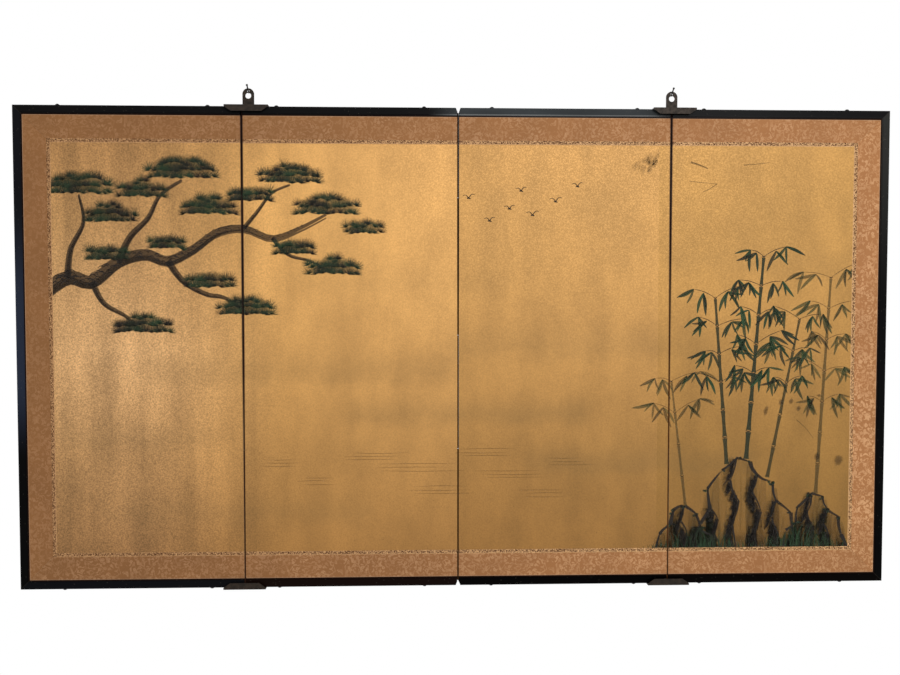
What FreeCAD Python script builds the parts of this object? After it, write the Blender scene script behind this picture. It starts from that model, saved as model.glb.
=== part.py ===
"""Byobu, a four-panel Japanese folding screen hung flat on two metal hangers.

Frame: +X runs along the screen to the viewer's right, -Y is the painted front, +Z is up.
The origin is under the middle of the screen, level with the bottom nails' domes. Millimetres.
"""
import FreeCAD, Part
import os
import Sketcher

PANELS = (1, 2, 3, 4)
MIDDLE_OF_ROW = sum(PANELS) / len(PANELS)
FIRST = PANELS[0]
LAST = PANELS[-1]
VERTICAL_BARS = 3
HORIZONTAL_BARS = 7

# Name, value, meaning. Every length of the screen is one of these or a sum of them.
SIZES = (
    ("panel_height", 914, "height of a panel with its lacquered rails"),
    ("core_width", 405, "width of a papered core, the same in all four panels"),
    ("joint_gap", 3, "gap between two cores at a fold"),
    ("wood_thickness", 14, "thickness of the cedar lattice"),
    ("frame_thickness", 19, "depth of the lacquered frame, front to back"),
    ("frame_face", 17.5, "width of the lacquered frame seen from the front"),
    ("frame_bevel", 1.2, "bevel along the frame's outer long edges"),
    ("bead_width", 3.5, "width of the sunk bead along the frame's inner edge"),
    ("bead_depth", 1.2, "depth of that bead under the frame's front"),
    ("bead_slope", 0.8, "width of the slope down to the bead"),
    ("notch_width", 3, "bevel of a rail's end at a fold, along the rail"),
    ("notch_height", 8, "the same bevel, down the rail"),
    ("under_paper", 0.6, "pasted layers of lining paper on the lattice"),
    ("painting_paper", 0.4, "gold-ground painting on its backing"),
    ("brocade_cloth", 0.5, "thickness of the brocade border"),
    ("brocade_width", 44, "width of the brocade border"),
    ("strip_cloth", 0.3, "thickness of the narrow figured strip"),
    ("strip_width", 7.5, "width of the narrow figured strip"),
    ("member_width", 24, "width of the lattice's outer stiles and rails"),
    ("tenon_length", 12, "how far a core rail enters its stile"),
    ("tenon_thickness", 5, "thickness of that tenon"),
    ("tenon_shoulder", 4, "shoulder above and below the tenon"),
    ("mortise_clearance", 0.1, "air round a tenon"),
    ("bar_width", 12, "width of a lattice bar"),
    ("hinge_overlap", 1.5, "width of a paper hinge's pasted edge, across the fold"),
    ("hinge_space", 0.6, "space between one paper hinge and the next"),
    ("fold_clearance", 0.25, "how far a fold's axis lies outside the frame"),
    ("nail_inset", 63, "from a core's side to the domed frame nail"),
    ("nail_head_radius", 5, "radius of the nail's dome"),
    ("nail_head_height", 4, "height of the dome"),
    ("nail_shank_radius", 1.1, "radius of the frame nail's shank"),
    ("nail_shank_length", 30, "length of the frame nail's shank"),
    ("nail_clearance", 0.05, "air round a nail's shank in its hole"),
    ("metal_plate", 1.5, "sheet metal of the hangers and brackets"),
    ("seat_clearance", 0.3, "air between the frame and the metal that holds it"),
    ("lip_standoff", 6, "air between the frame's front and a metal lip"),
    ("hanger_width", 82, "width of a top hanger"),
    ("hanger_lip_depth", 10, "how far a top lip reaches below the frame's top"),
    ("hanger_lip_flat", 57, "straight lower edge of a top lip"),
    ("hanger_back_depth", 30, "how far a hanger's back plate reaches down"),
    ("left_hanger_offset", 10, "left hanger's middle, right of its fold"),
    ("right_hanger_offset", 5, "right hanger's middle, right of its fold"),
    ("tab_width", 22, "width of the hanging tab"),
    ("tab_height", 36, "height of the tab above the hanger's top"),
    ("eye_radius", 5.5, "radius of the tab's large hole"),
    ("eye_height", 22, "height of that hole above the hanger's top"),
    ("nail_eye_radius", 2.1, "radius of the tab's small hole"),
    ("nail_eye_height", 31, "height of the small hole above the hanger's top"),
    ("bracket_width", 80, "width of a bottom bracket"),
    ("bracket_lip_height", 10.5, "how far a bottom lip reaches above the frame's bottom"),
    ("bracket_lip_flat", 55, "straight upper edge of a bottom lip"),
    ("bracket_back_height", 24, "how far a bracket's back plate reaches up"),
    ("lip_side", 1.5, "upright edge at each end of a lip, past the sheet"),
    ("wall_nail_radius", 1.3, "radius of the picture nail"),
    ("wall_nail_rise", 8.2, "height of the nail's head above the small hole"),
    ("wall_nail_reach", 14.2, "reach of the nail's head in front of the tab"),
    ("wall_nail_back", 8, "nail from the tab to its point, in the wall"),
    ("wall_nail_point", 3.5, "length of the nail's point"),
    ("wall_nail_head_radius", 2.1, "radius of the picture nail's head"),
    ("wall_nail_head", 1, "thickness of the picture nail's head"),
    ("overrun", 2, "how far a cutting shape runs past what it cuts"),
)

# Heights of the four paper hinges of a fold, from the bottom up, as shares of the core.
HINGE_HEIGHT_SHARES = (0.28, 0.25, 0.30, 0.17)

# Sums of sizes that several pieces share.
PITCH = "(sizes.core_width + sizes.joint_gap)"
HALF_FRAME = "(sizes.frame_thickness / 2)"
NAIL_SLOPE = "atan(sizes.wall_nail_rise / sizes.wall_nail_reach)"
NAIL_FRONT = "sqrt(sizes.wall_nail_rise^2 + sizes.wall_nail_reach^2)"
TAB_MIDDLE = f"({HALF_FRAME} + sizes.seat_clearance + sizes.metal_plate / 2)"
FRONT_REACH = f"({HALF_FRAME} + sizes.lip_standoff + sizes.metal_plate)"
BACK_REACH = f"({TAB_MIDDLE} + sizes.wall_nail_back * cos({NAIL_SLOPE}))"

# Depths, front to back. The screen's depth is halved by Y = 0.
MIDDLE_Y = f"(({FRONT_REACH} - {BACK_REACH}) / 2)"
FRAME_FRONT = f"({MIDDLE_Y} - {HALF_FRAME})"
FRAME_BACK = f"({MIDDLE_Y} + {HALF_FRAME})"
WOOD_FRONT = f"({MIDDLE_Y} - sizes.wood_thickness / 2)"
WOOD_BACK = f"({MIDDLE_Y} + sizes.wood_thickness / 2)"
PAPER_FRONT = f"({WOOD_FRONT} - sizes.under_paper)"
PAPER_BACK = f"({WOOD_BACK} + sizes.under_paper)"
PAINTING_FRONT = f"({PAPER_FRONT} - sizes.painting_paper)"
BROCADE_FRONT = f"({PAPER_FRONT} - sizes.brocade_cloth)"
STRIP_FRONT = f"({PAINTING_FRONT} - sizes.strip_cloth)"

# Heights, from the lowest point of the bottom nails' domes.
FRAME_BOTTOM = "sizes.nail_head_height"
FRAME_TOP = f"({FRAME_BOTTOM} + sizes.panel_height)"
CORE_BOTTOM = f"({FRAME_BOTTOM} + sizes.frame_face)"
CORE_TOP = f"({FRAME_TOP} - sizes.frame_face)"
BORDER_BOTTOM = f"({CORE_BOTTOM} + sizes.brocade_width)"
BORDER_TOP = f"({CORE_TOP} - sizes.brocade_width)"
RAIL_BOTTOM_EDGE = f"({CORE_BOTTOM} + sizes.member_width)"
RAIL_TOP_EDGE = f"({CORE_TOP} - sizes.member_width)"

document = FreeCAD.newDocument("byobu")
sheet = document.addObject("Spreadsheet::Sheet", "sizes")


def fill_sheet():
    """Writes each size as a plain number with its alias beside its meaning."""
    for row, (name, value, meaning) in enumerate(SIZES, start=1):
        sheet.set(f"A{row}", meaning)
        sheet.set(f"B{row}", str(value))
        sheet.setAlias(f"B{row}", name)
    document.recompute()


def worked_out(expression):
    """The number that a sum of sizes gives now."""
    value = sheet.evalExpression(expression)
    return float(getattr(value, "Value", value))


def bind_place(thing, place):
    """Binds an object's position to three sums of sizes."""
    for axis, expression in zip("xyz", place):
        thing.setExpression(f"Placement.Base.{axis}", expression)


def block(name, low, high):
    """A box between two corners, each given as three sums of sizes."""
    box = document.addObject("Part::Box", name)
    for side, start, end in zip(("Length", "Width", "Height"), low, high):
        box.setExpression(side, f"({end}) - ({start})")
    bind_place(box, low)
    return box


def rod(name, radius, foot, height):
    """An upright cylinder on a foot point."""
    cylinder = document.addObject("Part::Cylinder", name)
    cylinder.setExpression("Radius", radius)
    cylinder.setExpression("Height", height)
    bind_place(cylinder, foot)
    return cylinder


def joined(name, pieces):
    """One solid from several that meet."""
    fusion = document.addObject("Part::MultiFuse", name)
    fusion.Shapes = pieces
    return fusion


def group(name, pieces):
    """Several separate solids in one node."""
    compound = document.addObject("Part::Compound", name)
    compound.Links = pieces
    return compound


def cut_from(name, base, tools):
    """The base with every tool taken out of it."""
    cut = document.addObject("Part::Cut", name)
    cut.Base = base
    cut.Tool = tools[0] if len(tools) == 1 else group(f"{name}_tools", tools)
    return cut


def new_body(name):
    """An empty body at the origin, which its sketches fill."""
    body = document.addObject("PartDesign::Body", name)
    body.AllowCompound = True
    return body


def origin_plane(body, role):
    """One of the body's own three planes."""
    return next(plane for plane in body.Origin.OriginFeatures if plane.Role == role)


def hold_to(sketch, kind, points, value, expression):
    """One dimension of a sketch, bound to a sum of sizes.

    Points are pairs of a line's number and a spot on it: 1 starts it, 2 ends it and 3 is a
    circle's middle. The pair -1, 1 is the sketch's origin.
    """
    index = sketch.addConstraint(Sketcher.Constraint(kind, *points, value))
    sketch.setExpression(f"Constraints[{index}]", expression)


def draw_loop(sketch, corners):
    """A closed outline whose corners are pairs of sums of sizes."""
    first = sketch.GeometryCount
    flat = [FreeCAD.Vector(worked_out(u), worked_out(v), 0) for u, v in corners]
    for start, end in zip(flat, flat[1:] + flat[:1]):
        sketch.addGeometry(Part.LineSegment(start, end), False)
    for number, (u, v) in enumerate(corners):
        line = first + number
        following = first + (number + 1) % len(corners)
        sketch.addConstraint(Sketcher.Constraint("Coincident", line, 2, following, 1))
        hold_to(sketch, "DistanceX", (-1, 1, line, 1), flat[number].x, u)
        hold_to(sketch, "DistanceY", (-1, 1, line, 1), flat[number].y, v)


def draw_circle(sketch, u, v, radius):
    """A circle whose centre and radius are sums of sizes."""
    centre = FreeCAD.Vector(worked_out(u), worked_out(v), 0)
    size = worked_out(radius)
    line = sketch.addGeometry(Part.Circle(centre, FreeCAD.Vector(0, 0, 1), size), False)
    hold_to(sketch, "DistanceX", (-1, 1, line, 3), centre.x, u)
    hold_to(sketch, "DistanceY", (-1, 1, line, 3), centre.y, v)
    hold_to(sketch, "Radius", (line,), size, radius)


def sketch_on(body, name, role, height, loops=(), circles=()):
    """A sketch at a height above one of the body's planes."""
    sketch = body.newObject("Sketcher::SketchObject", name)
    sketch.AttachmentSupport = (origin_plane(body, role), [""])
    sketch.MapMode = "FlatFace"
    sketch.setExpression("AttachmentOffset.Base.z", height)
    for loop in loops:
        draw_loop(sketch, loop)
    for u, v, radius in circles:
        draw_circle(sketch, u, v, radius)
    return sketch


# A plane's own normal points along +Z, -Y or +X, so a pad starts at one side and a pocket at the other.
NORMAL_IS_POSITIVE = {"XY_Plane": True, "XZ_Plane": False, "YZ_Plane": True}


def add_between(body, name, role, low, high, loops=(), circles=()):
    """Pads outlines from a low to a high coordinate along the plane's axis."""
    height = low if NORMAL_IS_POSITIVE[role] else f"-({high})"
    sketch = sketch_on(body, f"{name}_sketch", role, height, loops, circles)
    pad = body.newObject("PartDesign::Pad", f"{name}_pad")
    pad.Profile = sketch
    pad.setExpression("Length", f"({high}) - ({low})")
    body.Tip = pad
    return pad


def cut_between(body, name, role, low, high, loops=(), circles=()):
    """Pockets outlines from a high to a low coordinate along the plane's axis."""
    document.recompute()
    before = body.Shape.Volume
    height = high if NORMAL_IS_POSITIVE[role] else f"-({low})"
    sketch = sketch_on(body, f"{name}_sketch", role, height, loops, circles)
    pocket = body.newObject("PartDesign::Pocket", f"{name}_pocket")
    pocket.Profile = sketch
    pocket.setExpression("Length", f"({high}) - ({low})")
    body.Tip = pocket
    document.recompute()
    if not body.Shape.Volume < before:
        raise RuntimeError(f"{name} cut nothing")
    return pocket


def rectangle(left, right, bottom, top):
    """The four corners of an upright rectangle."""
    return [(left, bottom), (right, bottom), (right, top), (left, top)]


def core_left(panel):
    """Left side of a panel's papered core."""
    return f"(({panel - MIDDLE_OF_ROW}) * {PITCH} - sizes.core_width / 2)"


def core_right(panel):
    """Right side of a panel's papered core."""
    return f"(({panel - MIDDLE_OF_ROW}) * {PITCH} + sizes.core_width / 2)"


def fold_x(panel):
    """The fold to the right of a panel."""
    return f"({core_right(panel)} + sizes.joint_gap / 2)"


def wood_left(panel):
    """Left side of the lattice, inside the paper that wraps the edge."""
    return f"({core_left(panel)} + sizes.under_paper)"


def wood_right(panel):
    """Right side of the lattice, inside the paper that wraps the edge."""
    return f"({core_right(panel)} - sizes.under_paper)"


def inner_left(panel):
    """Right side of the lattice's left stile."""
    return f"({wood_left(panel)} + sizes.member_width)"


def inner_right(panel):
    """Left side of the lattice's right stile."""
    return f"({wood_right(panel)} - sizes.member_width)"


def nail_places(panel):
    """The two places along a rail where a domed nail goes in."""
    left = f"({core_left(panel)} + sizes.nail_inset)"
    right = f"({core_right(panel)} - sizes.nail_inset)"
    return (("left", left), ("right", right))


def core_stiles(panel):
    """The lattice's two upright outer members, with a mortise near each end."""
    stiles = []
    air = "sizes.mortise_clearance"
    depths = (
        f"{MIDDLE_Y} - sizes.tenon_thickness / 2 - {air}",
        f"{MIDDLE_Y} + sizes.tenon_thickness / 2 + {air}",
    )
    shoulder = f"(sizes.tenon_shoulder - {air})"
    heights = {
        "bottom": (f"{CORE_BOTTOM} + {shoulder}", f"{RAIL_BOTTOM_EDGE} - {shoulder}"),
        "top": (f"{RAIL_TOP_EDGE} + {shoulder}", f"{CORE_TOP} - {shoulder}"),
    }
    sides = {
        "left": (wood_left(panel), inner_left(panel)),
        "right": (inner_right(panel), wood_right(panel)),
    }
    for side, (left, right) in sides.items():
        name = f"panel_{panel}_core_stile_{side}"
        base = block(f"{name}_blank", (left, WOOD_FRONT, CORE_BOTTOM), (right, WOOD_BACK, CORE_TOP))
        if side == "left":
            slot = (f"{right} - sizes.tenon_length - {air}", right)
        else:
            slot = (left, f"{left} + sizes.tenon_length + {air}")
        mortises = [
            block(f"{name}_{end}_mortise", (slot[0], depths[0], low), (slot[1], depths[1], high))
            for end, (low, high) in heights.items()
        ]
        stiles.append(cut_from(name, base, mortises))
    return group(f"panel_{panel}_core_stiles", stiles)


def core_rails(panel):
    """The lattice's top and bottom members: a tenon at each end, two nail holes each."""
    rails = []
    depths = (
        f"{MIDDLE_Y} - sizes.tenon_thickness / 2",
        f"{MIDDLE_Y} + sizes.tenon_thickness / 2",
    )
    grip = "(sizes.nail_shank_length - sizes.frame_face + sizes.nail_clearance)"
    ends = {
        "bottom": (CORE_BOTTOM, RAIL_BOTTOM_EDGE, CORE_BOTTOM),
        "top": (RAIL_TOP_EDGE, CORE_TOP, f"{CORE_TOP} - {grip}"),
    }
    for end, (low, high, hole_foot) in ends.items():
        name = f"panel_{panel}_core_rail_{end}"
        bar = block(
            f"{name}_blank",
            (inner_left(panel), WOOD_FRONT, low),
            (inner_right(panel), WOOD_BACK, high),
        )
        tenon = block(
            f"{name}_tenons",
            (f"{inner_left(panel)} - sizes.tenon_length", depths[0], f"{low} + sizes.tenon_shoulder"),
            (f"{inner_right(panel)} + sizes.tenon_length", depths[1], f"{high} - sizes.tenon_shoulder"),
        )
        holes = [
            rod(
                f"{name}_{side}_hole",
                "sizes.nail_shank_radius + sizes.nail_clearance",
                (place, MIDDLE_Y, hole_foot),
                grip,
            )
            for side, place in nail_places(panel)
        ]
        rails.append(cut_from(name, joined(f"{name}_bar", [bar, tenon]), holes))
    return group(f"panel_{panel}_core_rails", rails)


def bar_middles(low, high, count):
    """The middles of evenly spaced bars between two sides."""
    return [f"({low} + ({high} - {low}) * {number} / {count + 1})" for number in range(1, count + 1)]


def bar_sides(middle):
    """Both sides of a bar with this middle."""
    return (f"({middle} - sizes.bar_width / 2)", f"({middle} + sizes.bar_width / 2)")


def lattice_bars(panel):
    """Upright and level bars, half-lapped: uprights are notched in front, level ones behind."""
    left, right = inner_left(panel), inner_right(panel)
    columns = [bar_sides(middle) for middle in bar_middles(left, right, VERTICAL_BARS)]
    rows = [bar_sides(middle) for middle in bar_middles(RAIL_BOTTOM_EDGE, RAIL_TOP_EDGE, HORIZONTAL_BARS)]
    uprights = new_body(f"panel_{panel}_vertical_bars")
    upright_loops = [rectangle(*column, RAIL_BOTTOM_EDGE, RAIL_TOP_EDGE) for column in columns]
    level_loops = [rectangle(left, right, *row) for row in rows]
    add_between(uprights, f"uprights_{panel}", "XZ_Plane", WOOD_FRONT, WOOD_BACK, upright_loops)
    front = f"({WOOD_FRONT} - sizes.overrun)"
    cut_between(uprights, f"upright_laps_{panel}", "XZ_Plane", front, MIDDLE_Y, level_loops)
    levels = new_body(f"panel_{panel}_horizontal_bars")
    add_between(levels, f"levels_{panel}", "XZ_Plane", WOOD_FRONT, WOOD_BACK, level_loops)
    back = f"({WOOD_BACK} + sizes.overrun)"
    cut_between(levels, f"level_laps_{panel}", "XZ_Plane", MIDDLE_Y, back, upright_loops)
    return [uprights, levels]


def lining_papers(panel):
    """Front lining paper, folded back over both edges, and the back paper that closes the core."""
    left, right = core_left(panel), core_right(panel)
    name = f"panel_{panel}_front_paper"
    face = block(f"{name}_face", (left, PAPER_FRONT, CORE_BOTTOM), (right, WOOD_FRONT, CORE_TOP))
    pieces = [face]
    edges = {"left": (left, wood_left(panel)), "right": (wood_right(panel), right)}
    for side, (low, high) in edges.items():
        pieces.append(
            block(f"{name}_{side}_edge", (low, WOOD_FRONT, CORE_BOTTOM), (high, WOOD_BACK, CORE_TOP))
        )
    back = block(
        f"panel_{panel}_back_paper",
        (left, WOOD_BACK, CORE_BOTTOM),
        (right, PAPER_BACK, CORE_TOP),
    )
    return [joined(name, pieces), back]


def painted_sheet(panel):
    """The gold-ground sheet, which fills the panel inside the brocade."""
    left = f"({core_left(panel)} + sizes.brocade_width)" if panel == FIRST else core_left(panel)
    right = f"({core_right(panel)} - sizes.brocade_width)" if panel == LAST else core_right(panel)
    return block(
        f"panel_{panel}_painting",
        (left, PAINTING_FRONT, BORDER_BOTTOM),
        (right, PAPER_FRONT, BORDER_TOP),
    )


def border_loops(panel, inset, width):
    """Outlines of a border that follows the whole screen's edge, as far as it crosses one panel."""
    bottom, top = f"({CORE_BOTTOM} + {inset})", f"({CORE_TOP} - {inset})"
    low_edge, high_edge = f"({bottom} + {width})", f"({top} - {width})"
    left, right = core_left(panel), core_right(panel)
    if panel == FIRST:
        outer, inner, end = f"({left} + {inset})", f"({left} + {inset} + {width})", right
    elif panel == LAST:
        outer, inner, end = f"({right} - {inset})", f"({right} - {inset} - {width})", left
    else:
        return [rectangle(left, right, bottom, low_edge), rectangle(left, right, high_edge, top)]
    return [[
        (outer, bottom), (end, bottom), (end, low_edge), (inner, low_edge),
        (inner, high_edge), (end, high_edge), (end, top), (outer, top),
    ]]


def borders(panel):
    """The brocade border and the narrow figured strip that covers its inner seam."""
    brocade = new_body(f"panel_{panel}_brocade_border")
    loops = border_loops(panel, "0", "sizes.brocade_width")
    add_between(brocade, f"brocade_{panel}", "XZ_Plane", BROCADE_FRONT, PAPER_FRONT, loops)
    strip = new_body(f"panel_{panel}_figured_strip")
    loops = border_loops(panel, "sizes.brocade_width", "sizes.strip_width")
    add_between(strip, f"strip_{panel}", "XZ_Plane", STRIP_FRONT, PAINTING_FRONT, loops)
    return [brocade, strip]


def frame_profile(outer, inner, outward):
    """Section of the lacquered frame as pairs of depth and height; outward is + or -."""
    inward = "-" if outward == "+" else "+"
    return [
        (f"{FRAME_FRONT} + sizes.frame_bevel", outer),
        (FRAME_FRONT, f"{outer} {inward} sizes.frame_bevel"),
        (FRAME_FRONT, f"{inner} {outward} (sizes.bead_width + sizes.bead_slope)"),
        (f"{FRAME_FRONT} + sizes.bead_depth", f"{inner} {outward} sizes.bead_width"),
        (f"{FRAME_FRONT} + sizes.bead_depth", inner),
        (FRAME_BACK, inner),
        (FRAME_BACK, f"{outer} {inward} sizes.frame_bevel"),
        (f"{FRAME_BACK} - sizes.frame_bevel", outer),
    ]


def lacquered_rail(panel, end):
    """A top or bottom rail: mitred where it meets a stile, bevelled at a fold, bored for its nails."""
    if end == "top":
        outer, inner, outward, inward = FRAME_TOP, CORE_TOP, "+", "-"
        low, high = CORE_TOP, FRAME_TOP
    else:
        outer, inner, outward, inward = FRAME_BOTTOM, CORE_BOTTOM, "-", "+"
        low, high = FRAME_BOTTOM, CORE_BOTTOM
    left, right = core_left(panel), core_right(panel)
    if panel == FIRST:
        left = f"({left} - sizes.frame_face)"
    if panel == LAST:
        right = f"({right} + sizes.frame_face)"
    rail = new_body(f"panel_{panel}_{end}_rail")
    name = f"rail_{panel}_{end}"
    add_between(rail, name, "YZ_Plane", left, right, [frame_profile(outer, inner, outward)])
    ends = []
    for side, into, is_mitred in ((left, "+", panel == FIRST), (right, "-", panel == LAST)):
        if is_mitred:
            ends.append([(side, outer), (side, inner), (f"{side} {into} sizes.frame_face", inner)])
        else:
            ends.append([
                (side, outer),
                (f"{side} {into} sizes.notch_width", outer),
                (side, f"{outer} {inward} sizes.notch_height"),
            ])
    front = f"({FRAME_FRONT} - sizes.overrun)"
    back = f"({FRAME_BACK} + sizes.overrun)"
    cut_between(rail, f"{name}_ends", "XZ_Plane", front, back, ends)
    radius = "(sizes.nail_shank_radius + sizes.nail_clearance)"
    holes = [(place, MIDDLE_Y, radius) for _, place in nail_places(panel)]
    below = f"({low} - sizes.overrun)"
    above = f"({high} + sizes.overrun)"
    cut_between(rail, f"{name}_holes", "XY_Plane", below, above, (), holes)
    return rail


def outer_stile(side):
    """The lacquered stile at one end of the screen, mitred to both rails."""
    if side == "left":
        inner, away, toward = core_left(FIRST), "-", "+"
    else:
        inner, away, toward = core_right(LAST), "+", "-"
    outer = f"({inner} {away} sizes.frame_face)"
    stile = new_body(f"{side}_outer_stile")
    section = [(across, depth) for depth, across in frame_profile(outer, inner, away)]
    name = f"stile_{side}"
    add_between(stile, name, "XY_Plane", FRAME_BOTTOM, FRAME_TOP, [section])
    corners = [
        [(outer, FRAME_TOP), (f"{outer} {toward} sizes.frame_face", CORE_TOP), (inner, FRAME_TOP)],
        [(outer, FRAME_BOTTOM), (f"{outer} {toward} sizes.frame_face", CORE_BOTTOM), (inner, FRAME_BOTTOM)],
    ]
    front = f"({FRAME_FRONT} - sizes.overrun)"
    back = f"({FRAME_BACK} + sizes.overrun)"
    cut_between(stile, f"{name}_mitres", "XZ_Plane", front, back, corners)
    return stile


def frame_nail(name, place, end):
    """A domed nail driven through a rail into the core."""
    ball_radius = "((sizes.nail_head_radius^2 + sizes.nail_head_height^2) / (2 * sizes.nail_head_height))"
    sunk = f"({ball_radius} - sizes.nail_head_height)"
    dome = document.addObject("Part::Sphere", f"{name}_dome")
    dome.setExpression("Radius", ball_radius)
    dome.setExpression("Angle1", f"asin({sunk} / {ball_radius})")
    bind_place(dome, ("0", "0", f"-{sunk}"))
    shank = rod(
        f"{name}_shank",
        "sizes.nail_shank_radius",
        ("0", "0", "-sizes.nail_shank_length"),
        "sizes.nail_shank_length + sizes.nail_head_height / 2",
    )
    nail = joined(name, [dome, shank])
    if end == "bottom":
        nail.Placement = FreeCAD.Placement(
            FreeCAD.Vector(), FreeCAD.Rotation(FreeCAD.Vector(1, 0, 0), 180)
        )
    bind_place(nail, (place, MIDDLE_Y, FRAME_TOP if end == "top" else FRAME_BOTTOM))
    return nail


def frame_nails(panel):
    """The four domed nails of a panel, two in each rail."""
    nails = [
        frame_nail(f"panel_{panel}_{end}_{side}_nail", place, end)
        for end in ("top", "bottom")
        for side, place in nail_places(panel)
    ]
    return group(f"panel_{panel}_dome_nails", nails)


def paper_hinge(fold, panel):
    """Four strips in one fold, pasted by turns from front to back and from back to front."""
    hinge = new_body(f"{fold}_paper_hinge")
    left = f"({fold_x(panel)} - sizes.joint_gap / 2)"
    right = f"({fold_x(panel)} + sizes.joint_gap / 2)"
    foot_share = 0
    for number, share in enumerate(HINGE_HEIGHT_SHARES):
        near, far = (left, right) if number % 2 == 0 else (right, left)
        section = [
            (near, WOOD_FRONT),
            (near, f"{WOOD_FRONT} + sizes.hinge_overlap"),
            (far, WOOD_BACK),
            (far, f"{WOOD_BACK} - sizes.hinge_overlap"),
        ]
        low = f"({CORE_BOTTOM} + ({CORE_TOP} - {CORE_BOTTOM}) * {foot_share:.2f})"
        high = f"({low} + ({CORE_TOP} - {CORE_BOTTOM}) * {share} - sizes.hinge_space)"
        add_between(hinge, f"{fold}_hinge_{number}", "XY_Plane", low, high, [section])
        foot_share += share
    return hinge


def lip_outline(middle, width, flat, sheet_edge, frame_edge, tip, toward_tip):
    """A metal lip: full width at the sheet, drawn in to its straight free edge."""
    half, half_flat = f"({width} / 2)", f"({flat} / 2)"
    side = f"({frame_edge} {toward_tip} sizes.lip_side)"
    return [
        (f"{middle} - {half}", sheet_edge),
        (f"{middle} - {half}", side),
        (f"{middle} - {half_flat}", tip),
        (f"{middle} + {half_flat}", tip),
        (f"{middle} + {half}", side),
        (f"{middle} + {half}", sheet_edge),
    ]


def clip(name, middle, width, flat, end, tip, back_end):
    """A bent metal clip over two rails: back plate, level web and front lip."""
    clip_body = new_body(name)
    left, right = f"({middle} - {width} / 2)", f"({middle} + {width} / 2)"
    lip_back = f"({FRAME_FRONT} - sizes.lip_standoff)"
    lip_front = f"({lip_back} - sizes.metal_plate)"
    plate_front = f"({FRAME_BACK} + sizes.seat_clearance)"
    plate_back = f"({plate_front} + sizes.metal_plate)"
    if end == "top":
        web_low = f"({FRAME_TOP} + sizes.seat_clearance)"
        web_high = f"({web_low} + sizes.metal_plate)"
        plate = rectangle(left, right, back_end, web_high)
        lip = lip_outline(middle, width, flat, web_high, FRAME_TOP, tip, "-")
    else:
        web_high = f"({FRAME_BOTTOM} - sizes.seat_clearance)"
        web_low = f"({web_high} - sizes.metal_plate)"
        plate = rectangle(left, right, web_low, back_end)
        lip = lip_outline(middle, width, flat, web_low, FRAME_BOTTOM, tip, "+")
    add_between(clip_body, f"{name}_plate", "XZ_Plane", plate_front, plate_back, [plate])
    web = rectangle(left, right, lip_front, plate_back)
    add_between(clip_body, f"{name}_web", "XY_Plane", web_low, web_high, [web])
    add_between(clip_body, f"{name}_lip", "XZ_Plane", lip_front, lip_back, [lip])
    return clip_body


def hanger_top():
    """Upper face of a top hanger's web."""
    return f"({FRAME_TOP} + sizes.seat_clearance + sizes.metal_plate)"


def top_hanger(side, fold_panel):
    """A hanger over one fold, with a round-topped tab, its large eye and its nail eye."""
    middle = f"({fold_x(fold_panel)} + sizes.{side}_hanger_offset)"
    name = f"{side}_top_hanger"
    tip = f"({FRAME_TOP} - sizes.hanger_lip_depth)"
    back_end = f"({FRAME_TOP} - sizes.hanger_back_depth)"
    hanger = clip(name, middle, "sizes.hanger_width", "sizes.hanger_lip_flat", "top", tip, back_end)
    front = f"({FRAME_BACK} + sizes.seat_clearance)"
    back = f"({front} + sizes.metal_plate)"
    half = "(sizes.tab_width / 2)"
    round_centre = f"({hanger_top()} + sizes.tab_height - {half})"
    foot = f"({hanger_top()} - sizes.metal_plate)"
    tab = rectangle(f"{middle} - {half}", f"{middle} + {half}", foot, round_centre)
    add_between(hanger, f"{name}_tab", "XZ_Plane", front, back, [tab])
    add_between(hanger, f"{name}_tab_round", "XZ_Plane", front, back, (), [(middle, round_centre, half)])
    eyes = [
        (middle, f"{hanger_top()} + sizes.eye_height", "sizes.eye_radius"),
        (middle, f"{hanger_top()} + sizes.nail_eye_height", "sizes.nail_eye_radius"),
    ]
    before = f"({front} - sizes.overrun)"
    behind = f"({back} + sizes.overrun)"
    cut_between(hanger, f"{name}_eyes", "XZ_Plane", before, behind, (), eyes)
    return hanger


def bottom_bracket(side, fold_panel):
    """A bracket under one fold, without a tab."""
    return clip(
        f"{side}_bottom_bracket",
        fold_x(fold_panel),
        "sizes.bracket_width",
        "sizes.bracket_lip_flat",
        "bottom",
        f"({FRAME_BOTTOM} + sizes.bracket_lip_height)",
        f"({FRAME_BOTTOM} + sizes.bracket_back_height)",
    )


def wall_nail(side, fold_panel):
    """A picture nail through a hanger's small eye, sloping down into the wall."""
    name = f"{side}_wall_nail"
    head_foot = f"({NAIL_FRONT} - sizes.wall_nail_head)"
    shank_foot = "(sizes.wall_nail_point - sizes.wall_nail_back)"
    head = rod(f"{name}_head", "sizes.wall_nail_head_radius", ("0", "0", head_foot), "sizes.wall_nail_head")
    shank_length = f"{head_foot} - {shank_foot}"
    shank = rod(f"{name}_shank", "sizes.wall_nail_radius", ("0", "0", shank_foot), shank_length)
    point = document.addObject("Part::Cone", f"{name}_point")
    point.Radius1 = 0
    point.setExpression("Radius2", "sizes.wall_nail_radius")
    point.setExpression("Height", "sizes.wall_nail_point")
    bind_place(point, ("0", "0", "-sizes.wall_nail_back"))
    nail = joined(name, [head, shank, point])
    square_on = FreeCAD.Rotation(FreeCAD.Vector(1, 0, 0), 90)
    nail.Placement = FreeCAD.Placement(FreeCAD.Vector(), square_on)
    nail.setExpression("Placement.Rotation.Angle", f"90 deg - {NAIL_SLOPE}")
    middle = f"({fold_x(fold_panel)} + sizes.{side}_hanger_offset)"
    depth = f"({FRAME_BACK} + sizes.seat_clearance + sizes.metal_plate / 2)"
    bind_place(nail, (middle, depth, f"{hanger_top()} + sizes.nail_eye_height"))
    return nail


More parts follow.
